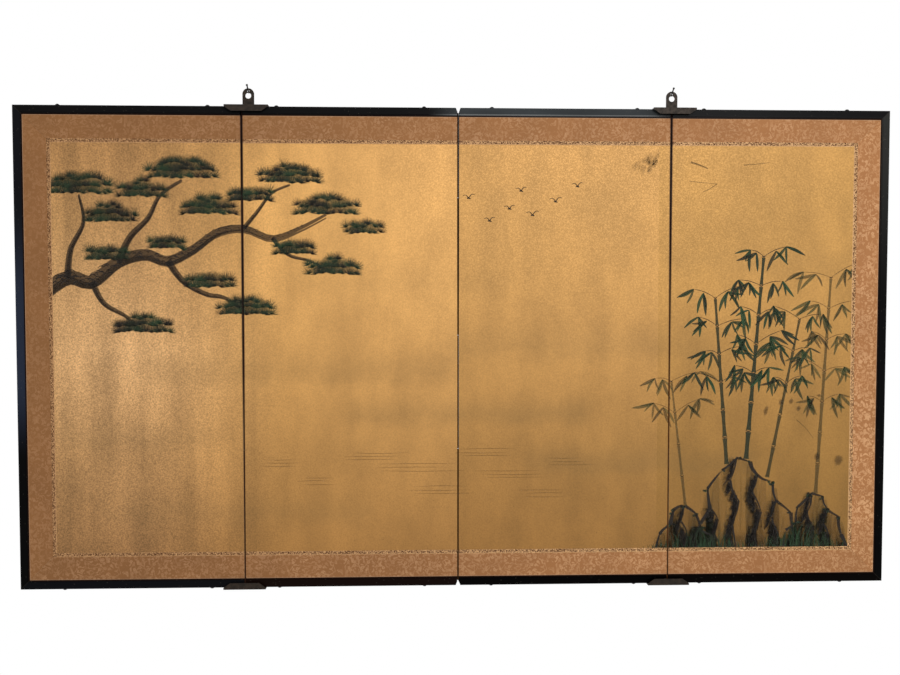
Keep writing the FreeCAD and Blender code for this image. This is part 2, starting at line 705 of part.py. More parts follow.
def build_screen():
    """Makes every piece and returns the objects that become nodes."""
    fill_sheet()
    pieces = []
    for panel in PANELS:
        pieces += [core_stiles(panel), core_rails(panel), *lattice_bars(panel)]
        pieces += [*lining_papers(panel), painted_sheet(panel), *borders(panel)]
        pieces += [lacquered_rail(panel, "top"), lacquered_rail(panel, "bottom"), frame_nails(panel)]
    for fold, panel in (("left_fold", 1), ("centre_fold", 2), ("right_fold", 3)):
        pieces.append(paper_hinge(fold, panel))
    for side, panel in (("left", 1), ("right", 3)):
        pieces += [outer_stile(side), top_hanger(side, panel), bottom_bracket(side, panel)]
        pieces.append(wall_nail(side, panel))
    document.recompute()
    return pieces


def check(pieces):
    """Stops if any object failed or any piece has no sound shape."""
    for thing in document.Objects:
        if "Invalid" in thing.State or "Error" in thing.State:
            raise RuntimeError(f"{thing.Name} failed: {thing.State}")
    for piece in pieces:
        if piece.Shape.isNull() or not piece.Shape.isValid() or not piece.Shape.Solids:
            raise RuntimeError(f"{piece.Label} has no sound shape")


def write_steps(pieces):
    """Writes each piece's solids to a file named as the piece."""
    os.makedirs("parts", exist_ok=True)
    for piece in pieces:
        piece.Shape.exportStep(f"parts/{piece.Label}.step")
    solids = sum(len(piece.Shape.Solids) for piece in pieces)
    print(f"{len(pieces)} nodes, {solids} solids")


screen_pieces = build_screen()
check(screen_pieces)
write_steps(screen_pieces)
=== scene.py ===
# %% [markdown]
# # A folding screen of four panels
#
# A byobu is a row of light wooden lattices, covered with paper, edged with black lacquer and
# hinged with paper strips. This one hangs open on a wall from two metal clips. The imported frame
# brings every wooden and metal piece at its real size. The lesson adds what a frame can't hold:
# the gold paper, the ink on it, the woven borders, the hinges and the light.

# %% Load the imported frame
import math
import random

import bmesh
import bpy
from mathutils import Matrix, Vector, noise
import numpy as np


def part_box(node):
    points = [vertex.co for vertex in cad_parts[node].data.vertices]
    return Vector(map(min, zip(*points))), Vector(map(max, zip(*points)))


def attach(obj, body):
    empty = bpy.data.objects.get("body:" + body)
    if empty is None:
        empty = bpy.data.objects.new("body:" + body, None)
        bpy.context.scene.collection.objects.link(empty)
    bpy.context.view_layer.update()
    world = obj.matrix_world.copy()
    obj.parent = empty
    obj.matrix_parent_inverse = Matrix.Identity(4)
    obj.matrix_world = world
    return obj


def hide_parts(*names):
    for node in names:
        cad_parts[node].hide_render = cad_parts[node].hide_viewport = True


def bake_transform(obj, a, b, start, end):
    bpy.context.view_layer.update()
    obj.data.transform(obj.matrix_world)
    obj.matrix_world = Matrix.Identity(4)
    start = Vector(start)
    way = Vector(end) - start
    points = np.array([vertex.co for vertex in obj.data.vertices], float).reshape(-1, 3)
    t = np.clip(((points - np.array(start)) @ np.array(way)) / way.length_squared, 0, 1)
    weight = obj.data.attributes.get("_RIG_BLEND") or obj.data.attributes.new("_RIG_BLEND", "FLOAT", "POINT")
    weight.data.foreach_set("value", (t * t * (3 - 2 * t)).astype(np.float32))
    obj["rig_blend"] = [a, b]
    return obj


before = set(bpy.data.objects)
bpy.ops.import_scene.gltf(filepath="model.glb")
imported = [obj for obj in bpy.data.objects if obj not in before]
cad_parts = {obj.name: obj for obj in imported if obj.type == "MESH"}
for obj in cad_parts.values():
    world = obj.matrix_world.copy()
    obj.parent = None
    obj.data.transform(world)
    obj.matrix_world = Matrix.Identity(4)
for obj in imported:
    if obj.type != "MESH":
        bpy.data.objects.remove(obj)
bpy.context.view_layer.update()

MM = 0.001
PANELS = (1, 2, 3, 4)
FOLDS = {
    "left": ("panel_1", "panel_2"),
    "centre": ("panel_2", "panel_3"),
    "right": ("panel_3", "panel_4"),
}

# %% [markdown]
# ## The camera
#
# The picture was taken from about the height of the screen's middle, a little left of it, with
# the camera turned by two degrees. A 36 mm lens on a 36 mm sensor gives the same perspective.
# The place was found by matching the screen's corners, so it is kept as real distances in metres.

# %% Place the camera
CAMERA_PLACE = (-0.0729, -1.7266, 0.5482)
CAMERA_AIM = (-0.0151, 0.0023, 0.4823)
LENS = 36
SENSOR = 36


def place_and_aim(data, place, aim):
    """A camera or a lamp at its place, turned to what it aims at."""
    holder = bpy.data.objects.new(data.name, data)
    holder.location = place
    holder.rotation_euler = (Vector(aim) - holder.location).to_track_quat("-Z", "Y").to_euler()
    bpy.context.collection.objects.link(holder)
    return holder


camera_data = bpy.data.cameras.new("camera")
camera_data.lens = LENS
camera_data.sensor_width = SENSOR
camera = place_and_aim(camera_data, CAMERA_PLACE, CAMERA_AIM)
bpy.context.scene.camera = camera
bpy.context.scene.view_settings.view_transform = "Standard"
print("camera", tuple(round(value, 3) for value in camera.location))

# %% [markdown]
# ## Small helpers for node trees
#
# A material is a graph, and a graph written call by call is hard to read. These helpers give
# each node one line, so that a material reads like its recipe.

# %% Helpers that add one node each
def add(tree, kind, inputs=None, **settings):
    """A node with its settings, whose inputs are wired or set by name."""
    node = tree.nodes.new(kind)
    for name, value in settings.items():
        setattr(node, name, value)
    for key, value in (inputs or {}).items():
        if isinstance(value, bpy.types.NodeSocket):
            tree.links.new(value, node.inputs[key])
        else:
            node.inputs[key].default_value = value
    return node


def sum_of(tree, operation, *values, clamp=False):
    """The result of one sum."""
    inputs = dict(enumerate(values))
    return add(tree, "ShaderNodeMath", inputs, operation=operation, use_clamp=clamp).outputs[0]


# %% Helpers for sums
def times(tree, first, second, clamp=False):
    """Two values multiplied."""
    return sum_of(tree, "MULTIPLY", first, second, clamp=clamp)


def plus(tree, first, second):
    """Two values added."""
    return sum_of(tree, "ADD", first, second)


def minus(tree, first, second):
    """The first value less the second."""
    return sum_of(tree, "SUBTRACT", first, second)


def over(tree, first, second):
    """The first value divided by the second."""
    return sum_of(tree, "DIVIDE", first, second)


def larger(tree, first, second):
    """The larger of two values."""
    return sum_of(tree, "MAXIMUM", first, second)


def smaller(tree, first, second):
    """The smaller of two values."""
    return sum_of(tree, "MINIMUM", first, second)


def apart(tree, first, second):
    """How far two values are apart."""
    return sum_of(tree, "ABSOLUTE", minus(tree, first, second))


def under(tree, value, limit):
    """One where the value is under the limit, else zero."""
    return sum_of(tree, "LESS_THAN", value, limit)


def past(tree, value, limit):
    """One where the value is past the limit, else zero."""
    return sum_of(tree, "GREATER_THAN", value, limit)


# %% Helpers for soft steps, noise and relief
def step(tree, value, low, high, start=0.0, end=1.0):
    """start below low, end above high, and a smooth rise between."""
    inputs = {"Value": value, "From Min": low, "From Max": high, "To Min": start, "To Max": end}
    return add(tree, "ShaderNodeMapRange", inputs, interpolation_type="SMOOTHSTEP").outputs[0]


def band(tree, value, low, high, blur):
    """One between low and high, with soft sides."""
    rise = step(tree, value, low - blur, low + blur)
    return times(tree, rise, step(tree, value, high - blur, high + blur, 1.0, 0.0))


# Most noise lies between these two values.
MOST_NOISE = (0.3, 0.7)


def widen(tree, noise_value, start=0.0, end=1.0):
    """Noise made to run from start to end."""
    return step(tree, noise_value, *MOST_NOISE, start, end)


def spread(tree, where, scale, stretch=(1, 1, 1), detail=2.0, roughness=0.5, distortion=0.0):
    """Cloudy noise from 0 to 1, stretched along some axes. The scale is in features per metre."""
    mapped = add(tree, "ShaderNodeMapping", {"Vector": where, "Scale": stretch})
    inputs = {"Vector": mapped.outputs[0], "Scale": scale, "Detail": detail}
    inputs.update({"Roughness": roughness, "Distortion": distortion})
    return add(tree, "ShaderNodeTexNoise", inputs).outputs[0]


def bump(tree, height, strength, depth):
    """A normal that makes a flat face look raised where height is high."""
    inputs = {"Height": height, "Strength": strength, "Distance": depth}
    return add(tree, "ShaderNodeBump", inputs).outputs[0]


def object_place(tree):
    """Where a point is on the screen, in metres: the vector, its X and its Z."""
    where = add(tree, "ShaderNodeTexCoord").outputs["Object"]
    parts = add(tree, "ShaderNodeSeparateXYZ", {0: where}).outputs
    return where, parts[0], parts[2]


def attribute(tree, name):
    """A value that the mesh carries at each point."""
    return add(tree, "ShaderNodeAttribute", attribute_name=name).outputs["Fac"]


# %% Helpers for colours
def paint(red, green, blue):
    """A colour as it looks on a screen, from 0 to 255, in a shader's own values."""
    tones = []
    for value in (red, green, blue):
        share = value / 255
        tones.append(share / 12.92 if share < 0.04045 else ((share + 0.055) / 1.055) ** 2.4)
    return (*tones, 1)


def grey(value):
    """A plain grey, in a shader's own values."""
    return (value, value, value, 1)


def mix(tree, share, first, second, way="MIX"):
    """Two colours mixed."""
    inputs = {0: share, 6: first, 7: second}
    return add(tree, "ShaderNodeMix", inputs, data_type="RGBA", blend_type=way).outputs[2]


def tint(tree, tone, colour, mask, amount):
    """A tone that turns into a colour where a mask is, by an amount."""
    return mix(tree, times(tree, mask, amount), tone, colour)


def ramp(tree, value, stops, way="LINEAR"):
    """A row of colours along a value from 0 to 1."""
    node = add(tree, "ShaderNodeValToRGB", {"Fac": value})
    node.color_ramp.interpolation = way
    while len(node.color_ramp.elements) < len(stops):
        node.color_ramp.elements.new(1)
    for element, (place, tone) in zip(node.color_ramp.elements, stops):
        element.position = place
        element.color = tone
    return node.outputs[0]


def shade(tree, tone, lean):
    """A colour made lighter or darker by a number."""
    plain = add(tree, "ShaderNodeCombineColor", {0: lean, 1: lean, 2: lean}).outputs[0]
    return mix(tree, 1.0, tone, plain, "MULTIPLY")


print("a middle grey of 128 is", round(paint(128, 128, 128)[0], 3), "to a shader")

# %% Helpers for node groups, materials and pieces
def new_group(name, inputs, outputs):
    """An empty node group with named sockets, and the sockets at its two ends."""
    group = bpy.data.node_groups.new(name, "ShaderNodeTree")
    for label, kind, value in inputs:
        socket = group.interface.new_socket(label, in_out="INPUT", socket_type=kind)
        if value is not None:
            socket.default_value = value
    for label in outputs:
        group.interface.new_socket(label, in_out="OUTPUT", socket_type="NodeSocketFloat")
    start = group.nodes.new("NodeGroupInput")
    end = group.nodes.new("NodeGroupOutput")
    return group, start.outputs, end.inputs


def spaced(values):
    """Values by the labels of their sockets, in which an underscore stands for a space."""
    return {label.replace("_", " "): value for label, value in values.items()}


def use_group(tree, group, **values):
    """A node group placed in a material with its own values."""
    return add(tree, "ShaderNodeGroup", spaced(values), node_tree=group).outputs


def wire(tree, ends, **values):
    """Wires values into a shader's sockets, or into the end of a group."""
    for label, value in spaced(values).items():
        tree.links.new(value, ends[label])


def new_material(name, **plain):
    """A material and its shader. Plain values are the shader's own, the same all over."""
    material = bpy.data.materials.new(name)
    material.use_nodes = True
    shader = material.node_tree.nodes["Principled BSDF"]
    for label, value in spaced(plain).items():
        shader.inputs[label].default_value = value
    return material, material.node_tree, shader.inputs


def on_panels(*pieces):
    """The nodes of these pieces on all four panels."""
    return [f"panel_{panel}_{piece}" for panel in PANELS for piece in pieces]


def dress(nodes, material):
    """Gives CAD nodes a material in all their slots."""
    for name in nodes:
        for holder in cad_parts[name].material_slots:
            holder.material = material
    print(material.name, "on", len(nodes), "nodes")


def make_piece(name, shape, material):
    """A mesh piece from a finished shape, which it frees."""
    mesh = bpy.data.meshes.new(name)
    shape.to_mesh(mesh)
    shape.free()
    mesh.materials.append(material)
    piece = bpy.data.objects.new(name, mesh)
    bpy.context.collection.objects.link(piece)
    return piece


# %% [markdown]
# ## Floor and light
#
# The screen hangs in soft light that comes from the upper right. A wide lamp there and an even
# white surrounding give that, and a second lamp lights the back. The light in front is set so
# that a colour in the middle of the screen renders as it is written. The background is white for
# the camera and in reflections alone, through Light Path, and puts no more light on the object.

# %% A pale floor below the hanging screen
FLOOR_DROP = 1.1
FLOOR_RADIUS = 1.7
FLOOR_SEGMENTS = 96
FLOOR_TONES = (grey(0.94), grey(0.97))

floor_shape = bmesh.new()
bmesh.ops.create_circle(floor_shape, cap_ends=True, segments=FLOOR_SEGMENTS, radius=FLOOR_RADIUS)
bmesh.ops.translate(floor_shape, verts=floor_shape.verts, vec=(0, 0, -FLOOR_DROP))
floor_paint, tree, shader = new_material("pale_floor", Roughness=0.8)
where, _, _ = object_place(tree)
mist = spread(tree, where, 3.0)
wire(tree, shader, Base_Color=mix(tree, mist, *FLOOR_TONES))
floor = make_piece("floor", floor_shape, floor_paint)
print("floor", 2 * FLOOR_RADIUS, "metres across")

# %% Surroundings and lamps
SURROUNDING_LEVEL = 0.42
LAMPS = {
    "key": {"place": (1.1, -3.4, 2.1), "size": 1.9, "power": 104},
    "back": {"place": (-1.4, 2.9, 2.0), "size": 2.2, "power": 78},
}
LAMP_AIM = (0, 0, 0.46)

world = bpy.data.worlds.new("surroundings")
world.use_nodes = True
bpy.context.scene.world = world
path = add(world.node_tree, "ShaderNodeLightPath").outputs
seen = larger(world.node_tree, path["Is Camera Ray"], path["Is Glossy Ray"])
seen = larger(world.node_tree, seen, path["Is Transmission Ray"])
level = step(world.node_tree, seen, 0.0, 1.0, SURROUNDING_LEVEL, 1.0)
background = world.node_tree.nodes["Background"]
background.inputs["Color"].default_value = grey(1)
wire(world.node_tree, background.inputs, Strength=level)

for name, lamp in LAMPS.items():
    light = bpy.data.lights.new(name, "AREA")
    light.size = lamp["size"]
    light.energy = lamp["power"]
    place_and_aim(light, lamp["place"], LAMP_AIM)
print("lamps", list(LAMPS))

# %% [markdown]
# ## Effects that several finishes share
#
# Paper fibre, dust and rubbed spots turn up on the lacquer, the paper and the metal alike. Each
# is a node group that puts out a mask, so that every material sets its own size and strength.

# %% Group: specks of one size, scattered
specks, start, end = new_group(
    "specks",
    [("Vector", "NodeSocketVector", None), ("Per metre", "NodeSocketFloat", 500.0),
     ("Share", "NodeSocketFloat", 0.3)],
    ["Mask"],
)
cells = add(specks, "ShaderNodeTexVoronoi", {"Vector": start["Vector"], "Scale": start["Per metre"]})
chance = add(specks, "ShaderNodeSeparateXYZ", {0: cells.outputs["Color"]}).outputs[0]
chosen = under(specks, chance, start["Share"])
dot = step(specks, cells.outputs["Distance"], 0.15, 0.45, 1.0, 0.0)
wire(specks, end, Mask=times(specks, chosen, dot))

# %% Group: cloudy wear that comes and goes
wear, start, end = new_group(
    "wear",
    [("Vector", "NodeSocketVector", None), ("Per metre", "NodeSocketFloat", 40.0),
     ("Amount", "NodeSocketFloat", 0.5)],
    ["Mask"],
)
broad = spread(wear, start["Vector"], 6.0, detail=4.0)
fine_noise = add(
    wear, "ShaderNodeTexNoise",
    {"Vector": start["Vector"], "Scale": start["Per metre"], "Detail": 6.0, "Roughness": 0.65},
).outputs[0]
both = times(wear, broad, fine_noise)
limit = minus(wear, 0.55, times(wear, start["Amount"], 0.4))
above = minus(wear, both, limit)
wire(wear, end, Mask=times(wear, above, 6.0, clamp=True))

# %% Group: crossed threads of a plain weave
weave, start, end = new_group(
    "weave",
    [("Vector", "NodeSocketVector", None), ("Threads per metre", "NodeSocketFloat", 2200.0)],
    ["Height"],
)
turn = times(weave, start["Threads per metre"], math.pi)
parts = add(weave, "ShaderNodeSeparateXYZ", {0: start["Vector"]}).outputs
warp = sum_of(weave, "ABSOLUTE", sum_of(weave, "SINE", times(weave, parts[0], turn)))
weft = sum_of(weave, "ABSOLUTE", sum_of(weave, "SINE", times(weave, parts[1], turn)))
wire(weave, end, Height=times(weave, warp, weft))

# %% Group: the painted shade beside each fold
# Paper and cloth roll over the edge into a fold, and a dark red painted shade of the gap lies on their edges
# there, most of all in the upper half. Each fold: how dark, how wide, and the heights where it starts and is
# full.
FOLD_SHADE_EDGES = {
    "left": {"dark": 1.0, "wide": 2.2 * MM, "starts": 0.12, "full": 0.55},
    "centre": {"dark": 0.8, "wide": 1.1 * MM, "starts": 0.45, "full": 0.70},
    "right": {"dark": 1.0, "wide": 2.4 * MM, "starts": 0.30, "full": 0.75},
}
FOLD_BESIDE = 20 * MM
FOLD_SHADE_RED = paint(38, 9, 1)

fold_shade, start, end = new_group(
    "fold_shade",
    [("Vector", "NodeSocketVector", None)],
    ["Edge", "Head"],
)
parts = add(fold_shade, "ShaderNodeSeparateXYZ", {0: start["Vector"]}).outputs
edge_shade_mask = 0.0
head_shade_mask = 0.0
for fold, look in FOLD_SHADE_EDGES.items():
    low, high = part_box(f"{fold}_fold_paper_hinge")
    half_gap = (high.x - low.x) / 2
    aside = apart(fold_shade, parts[0], (low.x + high.x) / 2)
    head = step(fold_shade, parts[2], look["starts"], look["full"])
    near = step(fold_shade, aside, half_gap, half_gap + look["wide"], look["dark"], 0.0)
    edge_shade_mask = larger(fold_shade, edge_shade_mask, times(fold_shade, near, head))
    # Near the fold, the upper part is marked for the hinge paper's painted shade.
    beside = under(fold_shade, aside, FOLD_BESIDE)
    head_shade_mask = larger(fold_shade, head_shade_mask, times(fold_shade, beside, head))
wire(fold_shade, end, Edge=edge_shade_mask, Head=head_shade_mask)


def shade_folds(tree, where, tone, dark=FOLD_SHADE_RED):
    """A colour that turns dark beside the folds, as painted shade of the gap."""
    edge = use_group(tree, fold_shade, Vector=where)["Edge"]
    return mix(tree, edge, tone, dark)


print("groups", [group.name for group in bpy.data.node_groups])

# %% [markdown]
# ## Black lacquer on the rails and stiles
#
# The frame is wood under many thin coats of black lacquer, rubbed to a soft shine. Old lacquer isn't one
# black: it shows a faint brown body and specks of dust. A grey painted reflection lies mostly on the top
# rail of the third panel, with a pale painted highlight along its bead. The left stile has a bluish painted
# reflection half way up, and each bottom rail has its own tone. A dark painted shadow line runs where the
# frame meets the cloth, and the gaps of the folds are painted black as shade. A dark base with a low
# specular level keeps the white surroundings from washing it out.

# %% Tones and places of the lacquer
CORE_LOW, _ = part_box("panel_1_back_paper")
_, CORE_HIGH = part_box("panel_4_back_paper")
CORE_WIDTH = CORE_HIGH.x - CORE_LOW.x
CORE_HEIGHT = CORE_HIGH.z - CORE_LOW.z
INNER_LINE = 2.4 * MM
BEAD_START = 3.4 * MM
BEAD_END = 5.2 * MM
EDGE_BLUR = 0.5 * MM
SHEEN_START = -0.060
SHEEN_FULL = 0.020
SHEEN_FADES = 0.344
SHEEN_ENDS = 0.420
SHEEN_FOOT = 0.88
SHEEN_LEFT = 0.04
RAIL_BLUR = 4 * MM
LACQUER_RELIEF = 0.2 * MM
LACQUER_AT_FOOT = (paint(4, 4, 5), paint(10, 9, 8))
LACQUER_AT_HEAD = (paint(14, 14, 15), paint(19, 18, 18))
FOOT_TONES = [
    (0.0, paint(13, 14, 17)),
    (0.25, paint(19, 9, 6)),
    (0.5, paint(3, 2, 2)),
    (0.75, paint(6, 4, 3)),
]
MITRE_LINE = 0.8 * MM
REFLECTION_START = 0.250
REFLECTION_FULL = 0.400
REFLECTION_FADES = 0.530
REFLECTION_ENDS = 0.740
REFLECTION_BLUE = paint(39, 45, 59)
HEAD_GREY = paint(44, 44, 42)
SHEEN_GREY = paint(60, 64, 66)
BEAD_HIGHLIGHT_GREY = paint(128, 129, 128)
SEAM_SHADOW_BROWN = paint(24, 11, 6)
MITRE_BROWN = paint(58, 52, 46)
DUST = paint(150, 140, 125)
RUBBED_LACQUER = paint(44, 40, 38)
GAP_SHADOW_BLACK = paint(2, 1, 1)
print("lattice", round(CORE_WIDTH, 3), "by", round(CORE_HEIGHT, 3))

# %% Make the lacquer
lacquer, tree, shader = new_material("black_lacquer", Coat_Weight=0.0, Specular_IOR_Level=0.02)
where, across, up = object_place(tree)
from_side = minus(tree, sum_of(tree, "ABSOLUTE", across), CORE_HIGH.x)
from_end = minus(tree, apart(tree, up, (CORE_LOW.z + CORE_HIGH.z) / 2), CORE_HEIGHT / 2)
outward = larger(tree, from_side, from_end)
past_mitre = minus(tree, from_side, from_end)
on_stile = past(tree, past_mitre, 0.0)
body = spread(tree, where, 9.0, detail=3.0)
at_head = step(tree, up, CORE_LOW.z, CORE_HIGH.z)
darker, lighter = (mix(tree, at_head, *pair) for pair in zip(LACQUER_AT_FOOT, LACQUER_AT_HEAD))
tone = mix(tree, body, darker, lighter)
low_down = step(tree, up, CORE_LOW.z, CORE_LOW.z + RAIL_BLUR, 1.0, 0.0)
low_down = times(tree, low_down, under(tree, past_mitre, 0.0))
along_rail = over(tree, minus(tree, across, CORE_LOW.x), CORE_WIDTH)
tone = mix(tree, low_down, tone, ramp(tree, along_rail, FOOT_TONES, "CONSTANT"))
# A bluish painted reflection half way up the left stile.
reflection_rises = step(tree, up, REFLECTION_START, REFLECTION_FULL)
stile_reflection = times(tree, reflection_rises, step(tree, up, REFLECTION_FADES, REFLECTION_ENDS, 1.0, 0.1))
left_stile = times(tree, on_stile, under(tree, across, 0.0))
tone = tint(tree, tone, REFLECTION_BLUE, left_stile, stile_reflection)
right_stile = times(tree, on_stile, past(tree, across, 0.0))
pale_head = times(tree, right_stile, step(tree, up, REFLECTION_FADES, CORE_HIGH.z))
tone = mix(tree, pale_head, tone, HEAD_GREY)
# A grey painted reflection on the top rail of the third panel, fading out over its neighbours.
sheen_starts = step(tree, across, SHEEN_START, SHEEN_FULL)
inside = times(tree, sheen_starts, step(tree, across, SHEEN_FADES, SHEEN_ENDS, 1.0, SHEEN_LEFT))
inside = times(tree, inside, step(tree, up, SHEEN_FOOT, CORE_HIGH.z))
streaky = spread(tree, where, 22.0, stretch=(0.3, 1, 2), detail=3.0)
painted_sheen = times(tree, inside, step(tree, streaky, 0.2, 0.8, 0.5, 1.0))
depth = add(tree, "ShaderNodeSeparateXYZ", {0: where}).outputs[1]
painted_sheen = times(tree, painted_sheen, under(tree, depth, 0.0))
tone = mix(tree, painted_sheen, tone, SHEEN_GREY)
# A pale painted highlight along the bead, where the painted reflection lies.
bead = band(tree, outward, BEAD_START, BEAD_END, EDGE_BLUR)
tone = tint(tree, tone, BEAD_HIGHLIGHT_GREY, bead, painted_sheen)
# A dark painted shadow line where the rails and stiles meet the cloth.
seam = step(tree, outward, INNER_LINE - EDGE_BLUR, INNER_LINE + EDGE_BLUR, 1.0, 0.0)
tone = mix(tree, seam, tone, SEAM_SHADOW_BROWN)
joint_line = step(tree, sum_of(tree, "ABSOLUTE", past_mitre), 0.0, MITRE_LINE, 0.5, 0.0)
tone = mix(tree, joint_line, tone, MITRE_BROWN)
dust = use_group(tree, specks, Vector=where, Per_metre=420.0, Share=0.04)["Mask"]
tone = tint(tree, tone, DUST, dust, 0.12)
rubbed = use_group(tree, wear, Vector=where, Per_metre=130.0, Amount=0.4)["Mask"]
tone = tint(tree, tone, RUBBED_LACQUER, rubbed, 0.25)
# The frame beside each fold's gap is painted black as shade.
tone = shade_folds(tree, where, tone, GAP_SHADOW_BLACK)
dull = plus(tree, 0.26, times(tree, rubbed, 0.25))
dull = plus(tree, dull, times(tree, painted_sheen, 0.2))
brushed = spread(tree, where, 220.0, stretch=(0.15, 1, 0.15), detail=2.0)
relief = bump(tree, brushed, 0.05, LACQUER_RELIEF)
wire(tree, shader, Base_Color=tone, Roughness=dull, Normal=relief)
dress(on_panels("top_rail", "bottom_rail") + ["left_outer_stile", "right_outer_stile"], lacquer)

# %% [markdown]
# ## Gold paper
#
# The painted sheets are paper dusted with gold powder. Seen close, the powder is granular, and on the left
# panels its grains are painted with more contrast, as painted light that grazes them. Seen from a step away,
# the size brushed under it leaves broad soft clouds, and the foot of each sheet is browner. Each panel is
# painted lighter or darker for the way it faces the light: the first is dull and pale, with painted streaks
# of sheen, and the last two are the darkest. The ground comes first, from height, then panel, then clouds,
# then grains.

# %% Measure the sheets
SHEET_LOW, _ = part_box("panel_1_painting")
_, SHEET_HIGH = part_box("panel_4_painting")
SHEET_FRONT = SHEET_LOW.y
SHEET_WIDTH = SHEET_HIGH.x - SHEET_LOW.x
SHEET_HEIGHT = SHEET_HIGH.z - SHEET_LOW.z
print("painted area", round(SHEET_WIDTH, 3), "by", round(SHEET_HEIGHT, 3))

# %% Colours of the gold ground
GOLD_BY_HEIGHT = [
    (0.0, paint(158, 113, 58)),
    (0.25, paint(178, 131, 71)),
    (0.6, paint(203, 152, 86)),
    (0.85, paint(210, 158, 90)),
    (1.0, paint(207, 155, 88)),
]
# The first panel's tones, duller and paler as painted light.
FIRST_PANEL_LIGHT_BY_HEIGHT = [
    (0.0, paint(152, 110, 66)),
    (0.25, paint(180, 136, 86)),
    (0.5, paint(212, 165, 111)),
    (0.8, paint(180, 136, 84)),
    (1.0, paint(162, 119, 71)),
]
# How much each panel is painted lighter or darker, for the way it faces the light.
PANEL_LIGHTING_LEANS = [
    (0.97, 0.97, 0.97, 1),
    (1.02, 1.02, 1.02, 1),
    (0.86, 0.85, 0.80, 1),
    (0.76, 0.75, 0.64, 1),
]
GOLD_OLIVE = paint(118, 90, 40)
GOLD_GRAINS = 400.0
GOLD_SHEEN_STREAKS = 16.0
GOLD_CLOUDS = 9.0


def gold_ground(tree):
    """The colour of the bare gold paper with its painted light, its grains and where a point is."""
    where, across, up = object_place(tree)
    height = over(tree, minus(tree, up, SHEET_LOW.z), SHEET_HEIGHT)
    width = over(tree, minus(tree, across, SHEET_LOW.x), SHEET_WIDTH)
    bright = ramp(tree, height, GOLD_BY_HEIGHT)
    dull = ramp(tree, height, FIRST_PANEL_LIGHT_BY_HEIGHT)
    # The first panel is painted duller, for its angle to the light.
    tone = mix(tree, step(tree, width, 0.08, 0.3), dull, bright)
    # Each panel is painted lighter or darker by how it faces the light.
    panel_light_shares = [(number / len(PANELS), lean) for number, lean in enumerate(PANEL_LIGHTING_LEANS)]
    tone = mix(tree, 1.0, tone, ramp(tree, width, panel_light_shares, "CONSTANT"), "MULTIPLY")
    olive = times(tree, step(tree, width, 0.5, 0.95), step(tree, height, 0.1, 0.6, 0.3, 0.0))
    tone = mix(tree, olive, tone, GOLD_OLIVE)
    clouds = spread(tree, where, GOLD_CLOUDS, stretch=(1.3, 1, 0.7), detail=3.0, roughness=0.55)
    lean = step(tree, clouds, 0.25, 0.75, 0.86, 1.12)
    grains = spread(tree, where, GOLD_GRAINS, detail=2.0, roughness=0.6)
    # Painted sheen in upright streaks on the first panel.
    sheen_streaks = spread(tree, where, GOLD_SHEEN_STREAKS, stretch=(1.3, 1, 0.12), detail=3.0)
    on_first = step(tree, width, 0.15, 0.32, 1.0, 0.15)
    sheen_streak_lean = times(tree, minus(tree, sheen_streaks, 0.5), on_first)
    lean = times(tree, lean, plus(tree, 1.0, sheen_streak_lean))
    # Painted grazing light: the grains show more contrast on the left.
    grazing_light_contrast = step(tree, width, 0.1, 0.34, 1.8, 0.55)
    grain_lean = times(tree, minus(tree, grains, 0.5), grazing_light_contrast)
    lean = times(tree, lean, plus(tree, 1.0, grain_lean))
    return shade(tree, tone, lean), grains, where, across, up, width, height


# %% [markdown]
# ## Washes in the paper
#
# Thin ink sinks into gold paper and leaves no edge of paint, so the soft parts of the design are
# in the paper's own colour: long banks of mist with rounded ends, as Japanese screens have had
# for centuries. A bank is a stretched capsule: the distance from a level line, with a wavering
# rim. Its foot is dark and its head fades out, which makes it float.

# %% Group: one bank of mist
bank, start, end = new_group(
    "mist_bank",
    [("Vector", "NodeSocketVector", None), ("Across", "NodeSocketFloat", 0.0),
     ("Up", "NodeSocketFloat", 0.5), ("Half length", "NodeSocketFloat", 0.2),
     ("Half height", "NodeSocketFloat", 0.03), ("Softness", "NodeSocketFloat", 0.01)],
    ["Mask"],
)
parts = add(bank, "ShaderNodeSeparateXYZ", {0: start["Vector"]}).outputs
waver = minus(bank, spread(bank, start["Vector"], 14.0, stretch=(1, 1, 2), detail=3.0), 0.5)
waver = times(bank, waver, start["Half height"])
aside = apart(bank, parts[0], start["Across"])
aside = larger(bank, minus(bank, aside, start["Half length"]), 0.0)
above = minus(bank, parts[2], start["Up"])
squares = plus(bank, sum_of(bank, "POWER", aside, 2.0), times(bank, above, above))
away = plus(bank, sum_of(bank, "SQRT", squares), waver)
rim = add(
    bank, "ShaderNodeMapRange",
    {"Value": away, "From Min": minus(bank, start["Half height"], start["Softness"]),
     "From Max": start["Half height"], "To Min": 1.0, "To Max": 0.0},
    interpolation_type="SMOOTHSTEP",
).outputs[0]
lift = over(bank, above, start["Half height"])
fade = step(bank, lift, -0.9, 0.9, 1.0, 0.12)
wire(bank, end, Mask=times(bank, rim, fade))
print("a bank of mist takes", len(bank.nodes), "nodes")

# %% Where the washes and the stain lie
# Each bank: across, up, half its length, half its height, soft rim, and how dark it is.
BANKS = (
    (-0.30, 0.430, 0.260, 0.052, 0.046, 0.26),
    (0.02, 0.345, 0.210, 0.044, 0.040, 0.30),
    (0.24, 0.480, 0.230, 0.058, 0.052, 0.19),
    (-0.60, 0.300, 0.130, 0.044, 0.040, 0.20),
    (-0.10, 0.600, 0.180, 0.050, 0.046, 0.11),
    (0.58, 0.640, 0.150, 0.052, 0.048, 0.13),
    (0.36, 0.250, 0.200, 0.044, 0.038, 0.26),
    (-0.42, 0.160, 0.230, 0.050, 0.044, 0.18),
)
WASH = paint(104, 84, 50)
